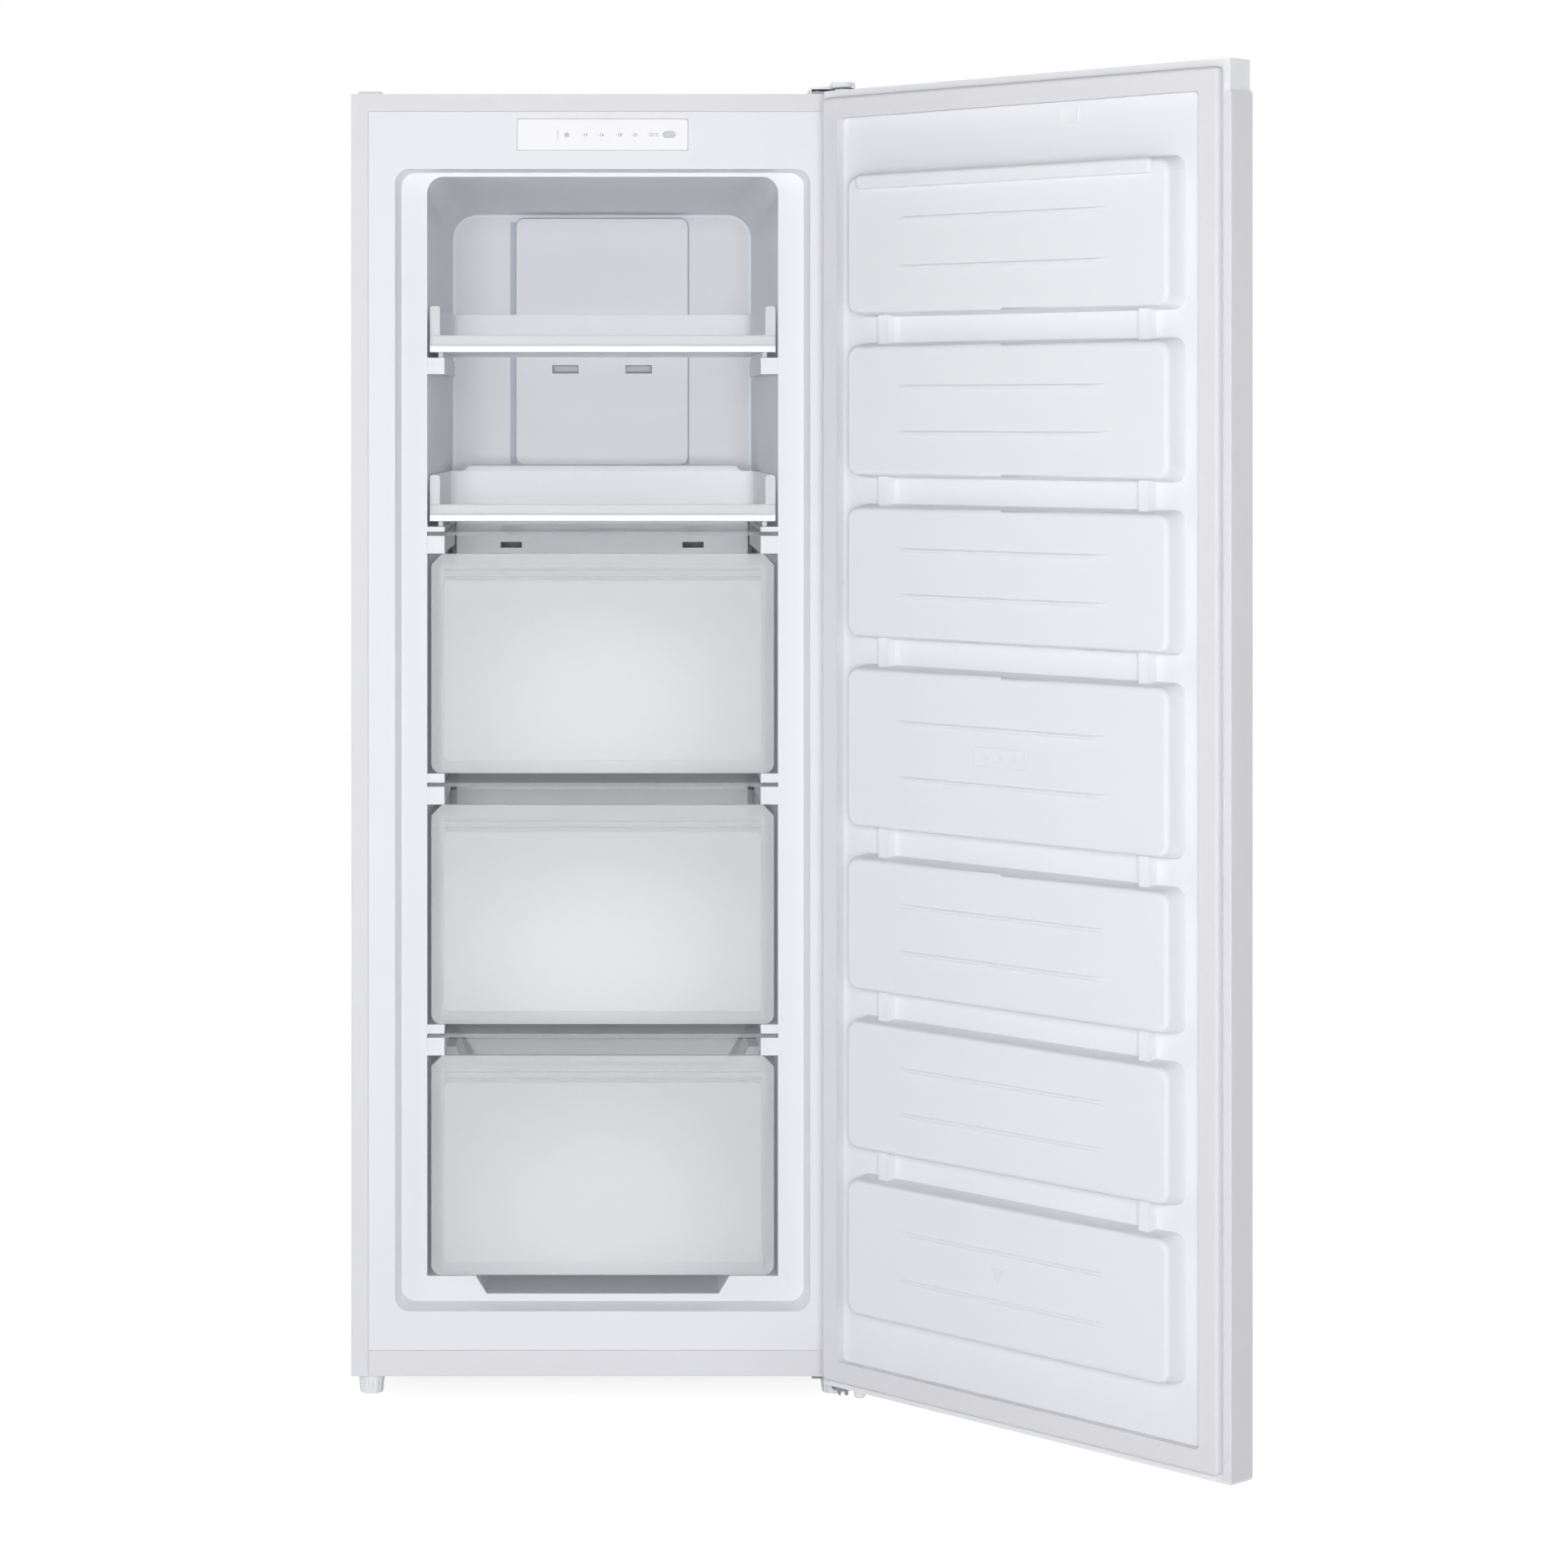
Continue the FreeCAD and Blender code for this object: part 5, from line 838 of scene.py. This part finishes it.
class FREEZER_OT_finish_drawers(bpy.types.Operator):
    """Finishes the trays, the drawers and the shelves"""

    bl_idname = "freezer.finish_drawers"
    bl_label = "Finish the drawers"

    def execute(self, context):
        finishes = context.scene.freezer_finishes
        # From the front of each tray's lip back to here, its colour is painted darker, as painted shade.
        lip = (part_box("tray_1")[0][1] + PAINTED_SHADE_DEPTH * MM, PAINTED_SHADE_BLEND * MM)
        opal = clear_polystyrene(finishes.trays, "opal_polystyrene", finishes.tray_cloud, 0.34,
                                 lip=lip, shade_share=TRAY_FORWARD_SHADE)
        dress(opal, ["tray_1", "tray_2"])
        tubs = clear_polystyrene(finishes.clear, "clear_polystyrene_tub", finishes.cloud * 0.7, 0.2)
        shelves = clear_polystyrene(finishes.clear, "clear_polystyrene_shelf", finishes.cloud * 0.7, 0.12)
        for i in (1, 2, 3):
            low, high = (Vector(corner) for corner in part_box("drawer_front_%d" % i))
            size = high - low
            # A spot low in the middle of each front, where the haze is painted thicker as a painted pool of
            # light.
            lit_spot = ((low + high) / 2 - Vector((0, 0, size.z * 0.2)), (size.x * 0.5, 1.0, size.z * 0.6))
            front = clear_polystyrene(finishes.clear, "clear_polystyrene_front_%d" % i, finishes.cloud, 0.16,
                                      lit_spot)
            dress(front, ["drawer_front_%d" % i])
            dress(shelves, ["shelf_%d" % i])
            dress(tubs, ["drawer_tub_%d" % i])
        for name, body in (("tray_1", "upper_tray"), ("tray_2", "lower_tray")):
            self.paint_lip_highlight(name, body, finishes.trays)
        return {"FINISHED"}

    def paint_lip_highlight(self, tray, body, colour):
        """A bead along the foot of a tray's lip, near opaque and so brighter than the lip, as a painted
        highlight.
        """
        low, high = (Vector(corner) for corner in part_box(tray))
        foot = low.z + TRAY_RIB * MM
        shape = bmesh.new()
        bottom, top = (foot + z * MM for z in BEAD_ZS)
        add_bar(shape, (low.x, low.y - BEAD_PROUD * MM, bottom), (high.x, low.y + BEAD_IN * MM, top),
                BEAD_EDGE)
        bead = clear_polystyrene(colour, "opal_lip_painted_highlight", 0.97, 0.12)
        keep_piece("%s_lip_highlight_band" % tray, shape, bead, body)


class FREEZER_OT_finish_machine(bpy.types.Operator):
    """Finishes the metal fittings and the cooling machine"""

    bl_idname = "freezer.finish_machine"
    bl_label = "Finish the machine"

    def execute(self, context):
        dress(zinc_plated_steel(), [
            "base_plate", "foot_nuts", "defrost_heater", "machine_panel", "compressor_tray", "upper_hinge",
            "lower_hinge", "hinge_screws"])
        dress(blackened_steel(), ["door_screws"])
        dress(stoved_enamel(), ["compressor"])
        dress(drawn_copper(), ["refrigerant_pipe", "condenser_coil"])
        dress(rolled_aluminium(), ["evaporator"])
        dress(black_rubber(), ["compressor_mounts"])
        dress(moulded_abs("moulded_abs_grey", linear("5B5C60")), [
            "rear_feet", "fan_motor", "fan_rotor", "evaporation_pan", "drain_tube"])
        dress(circuit_board(), ["control_board"])
        return {"FINISHED"}


class FREEZER_OT_build_studio(bpy.types.Operator):
    """Builds the pale studio: floor, room light, six soft lamps and the camera"""

    bl_idname = "freezer.build_studio"
    bl_label = "Build the studio"

    def execute(self, context):
        studio = context.scene.freezer_studio
        scene = context.scene
        scene.view_settings.view_transform = "Standard"
        build_world(scene, studio.room)
        build_floor()
        low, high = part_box("cabinet_shell")
        middle = Vector(((low[0] + high[0]) / 2, low[1], AIM_HEIGHT))
        front_lamp = place_lamp("front_lamp", studio.front_power, FRONT_LAMP, middle)
        # It stands beside the camera, and its mirror image would burn out the flat front faces.
        front_lamp.visible_glossy = False
        place_lamp("left_lamp", studio.left_power, LEFT_LAMP, middle)
        place_lamp("right_lamp", studio.right_power, RIGHT_LAMP, middle)
        place_lamp("back_lamp", studio.back_power, BACK_LAMP, middle)
        place_lamp("left_side_lamp", studio.side_power, LEFT_SIDE_LAMP, middle)
        place_lamp("right_side_lamp", studio.side_power, RIGHT_SIDE_LAMP, middle)
        place_camera(scene, middle.x)
        return {"FINISHED"}


def either(tree, first, second):
    """One where either output is one."""
    return add_node(tree, "ShaderNodeMath", settings={"operation": "MAXIMUM"},
                    links={0: first, 1: second}).outputs[0]


def build_world(scene, strength):
    """A pale room: white to the eye and in reflections, gentler as a light."""
    world = bpy.data.worlds.new("pale_room")
    world.use_nodes = True
    tree = world.node_tree
    tree.nodes.clear()
    path = add_node(tree, "ShaderNodeLightPath")
    seen = either(tree, path.outputs["Is Camera Ray"], path.outputs["Is Transmission Ray"])
    seen = either(tree, seen, path.outputs["Is Glossy Ray"])
    room = add_node(tree, "ShaderNodeBackground",
                    values={"Color": (0.97, 0.98, 1.0, 1), "Strength": strength})
    white = add_node(tree, "ShaderNodeBackground", values={"Color": (1, 1, 1, 1), "Strength": 1.0})
    mix = add_node(tree, "ShaderNodeMixShader",
                   links={0: seen, 1: room.outputs[0], 2: white.outputs[0]})
    add_node(tree, "ShaderNodeOutputWorld", links={"Surface": mix.outputs[0]})
    scene.world = world


def build_floor():
    """A wide pale floor that takes the freezer's shadow."""
    mesh = bpy.data.meshes.new("studio_floor")
    shape = bmesh.new()
    bmesh.ops.create_grid(shape, x_segments=1, y_segments=1, size=FLOOR_HALF)
    shape.to_mesh(mesh)
    shape.free()
    floor = bpy.data.objects.new("studio_floor", mesh)
    bpy.context.scene.collection.objects.link(floor)
    material, tree, shader, place = start_material("pale_studio_floor")
    shader.inputs["Roughness"].default_value = 0.9
    shader.inputs["Base Color"].default_value = (*linear("F2F2F3"), 1)
    output = [node for node in tree.nodes if node.type == "OUTPUT_MATERIAL"][0]
    path = add_node(tree, "ShaderNodeLightPath")
    seen = either(tree, path.outputs["Is Camera Ray"], path.outputs["Is Transmission Ray"])
    paper = add_node(tree, "ShaderNodeBsdfDiffuse",
                     values={"Color": (FLOOR_PAPER, FLOOR_PAPER, FLOOR_PAPER, 1)})
    away = add_node(tree, "ShaderNodeVectorMath", settings={"operation": "LENGTH"}, links={0: place})
    lift = add_node(tree, "ShaderNodeMapRange",
                    values={"From Min": FLOOR_FADE[0], "From Max": FLOOR_FADE[1],
                            "To Min": FLOOR_GLOW[0], "To Max": FLOOR_GLOW[1]},
                    links={"Value": away.outputs["Value"]})
    glow = add_node(tree, "ShaderNodeEmission", values={"Color": (1, 1, 1, 1)},
                    links={"Strength": lift.outputs["Result"]})
    bright = add_node(tree, "ShaderNodeAddShader", links={0: paper.outputs[0], 1: glow.outputs[0]})
    mix = add_node(tree, "ShaderNodeMixShader",
                   links={0: seen, 1: shader.outputs[0], 2: bright.outputs[0]})
    tree.links.new(mix.outputs[0], output.inputs["Surface"])
    mesh.materials.append(material)


def place_lamp(name, power, size_and_spot, target):
    """A square soft lamp that looks at the target."""
    size, spot = size_and_spot[0], Vector(size_and_spot[1])
    light = bpy.data.lights.new(name, "AREA")
    light.shape = "SQUARE"
    light.size = size
    light.energy = power
    lamp = bpy.data.objects.new(name, light)
    lamp.location = spot
    lamp.rotation_euler = (target - spot).to_track_quat("-Z", "Y").to_euler()
    bpy.context.scene.collection.objects.link(lamp)
    return lamp


def place_camera(scene, cabinet_x):
    """Camera square to the cabinet's front, its lens shifted as the photograph's framing needs."""
    camera = bpy.data.cameras.new("camera")
    camera.sensor_width = 36.0
    camera.lens = camera.sensor_width * CAMERA_FOCAL_PX / IMAGE_SIZE
    camera.shift_x = 0.5 - HORIZON_U / IMAGE_SIZE
    camera.shift_y = HORIZON_V / IMAGE_SIZE - 0.5
    camera.clip_end = 60.0
    eye = bpy.data.objects.new("camera", camera)
    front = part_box("cabinet_shell")[0][1]
    eye.location = (cabinet_x - CAMERA_LEFT, front - CAMERA_BACK, CAMERA_HEIGHT)
    eye.rotation_euler = (math.radians(90), 0, 0)
    scene.collection.objects.link(eye)
    scene.camera = eye


class FREEZER_PT_looks(bpy.types.Panel):
    """Sidebar panel of the freezer's finishes and its studio"""

    bl_idname = "FREEZER_PT_looks"
    bl_label = "Freezer"
    bl_space_type = "VIEW_3D"
    bl_region_type = "UI"
    bl_category = "Freezer"

    def draw(self, context):
        for group in (context.scene.freezer_finishes, context.scene.freezer_studio):
            for name in group.bl_rna.properties.keys():
                if name not in ("rna_type", "name"):
                    self.layout.prop(group, name)
        for operator in OPERATORS:
            self.layout.operator(operator.bl_idname)


OPERATORS = (
    FREEZER_OT_paint_steel,
    FREEZER_OT_finish_linings,
    FREEZER_OT_print_panel,
    FREEZER_OT_paint_duct_shade,
    FREEZER_OT_mark_pads,
    FREEZER_OT_finish_drawers,
    FREEZER_OT_finish_machine,
    FREEZER_OT_build_studio,
)
GROUPS = (FreezerFinishes, FreezerStudio)


def register():
    for item in (*GROUPS, *OPERATORS, FREEZER_PT_looks):
        bpy.utils.register_class(item)
    bpy.types.Scene.freezer_finishes = bpy.props.PointerProperty(type=FreezerFinishes)
    bpy.types.Scene.freezer_studio = bpy.props.PointerProperty(type=FreezerStudio)


def unregister():
    del bpy.types.Scene.freezer_studio
    del bpy.types.Scene.freezer_finishes
    for item in reversed((*GROUPS, *OPERATORS, FREEZER_PT_looks)):
        bpy.utils.unregister_class(item)


def main():
    register()
    bpy.ops.freezer.build_studio()
    bpy.ops.freezer.paint_steel()
    bpy.ops.freezer.finish_linings()
    bpy.ops.freezer.print_panel()
    bpy.ops.freezer.seal_duct()
    bpy.ops.freezer.mark_pads()
    bpy.ops.freezer.finish_drawers()
    bpy.ops.freezer.finish_machine()


if __name__ == "__main__":
    main()
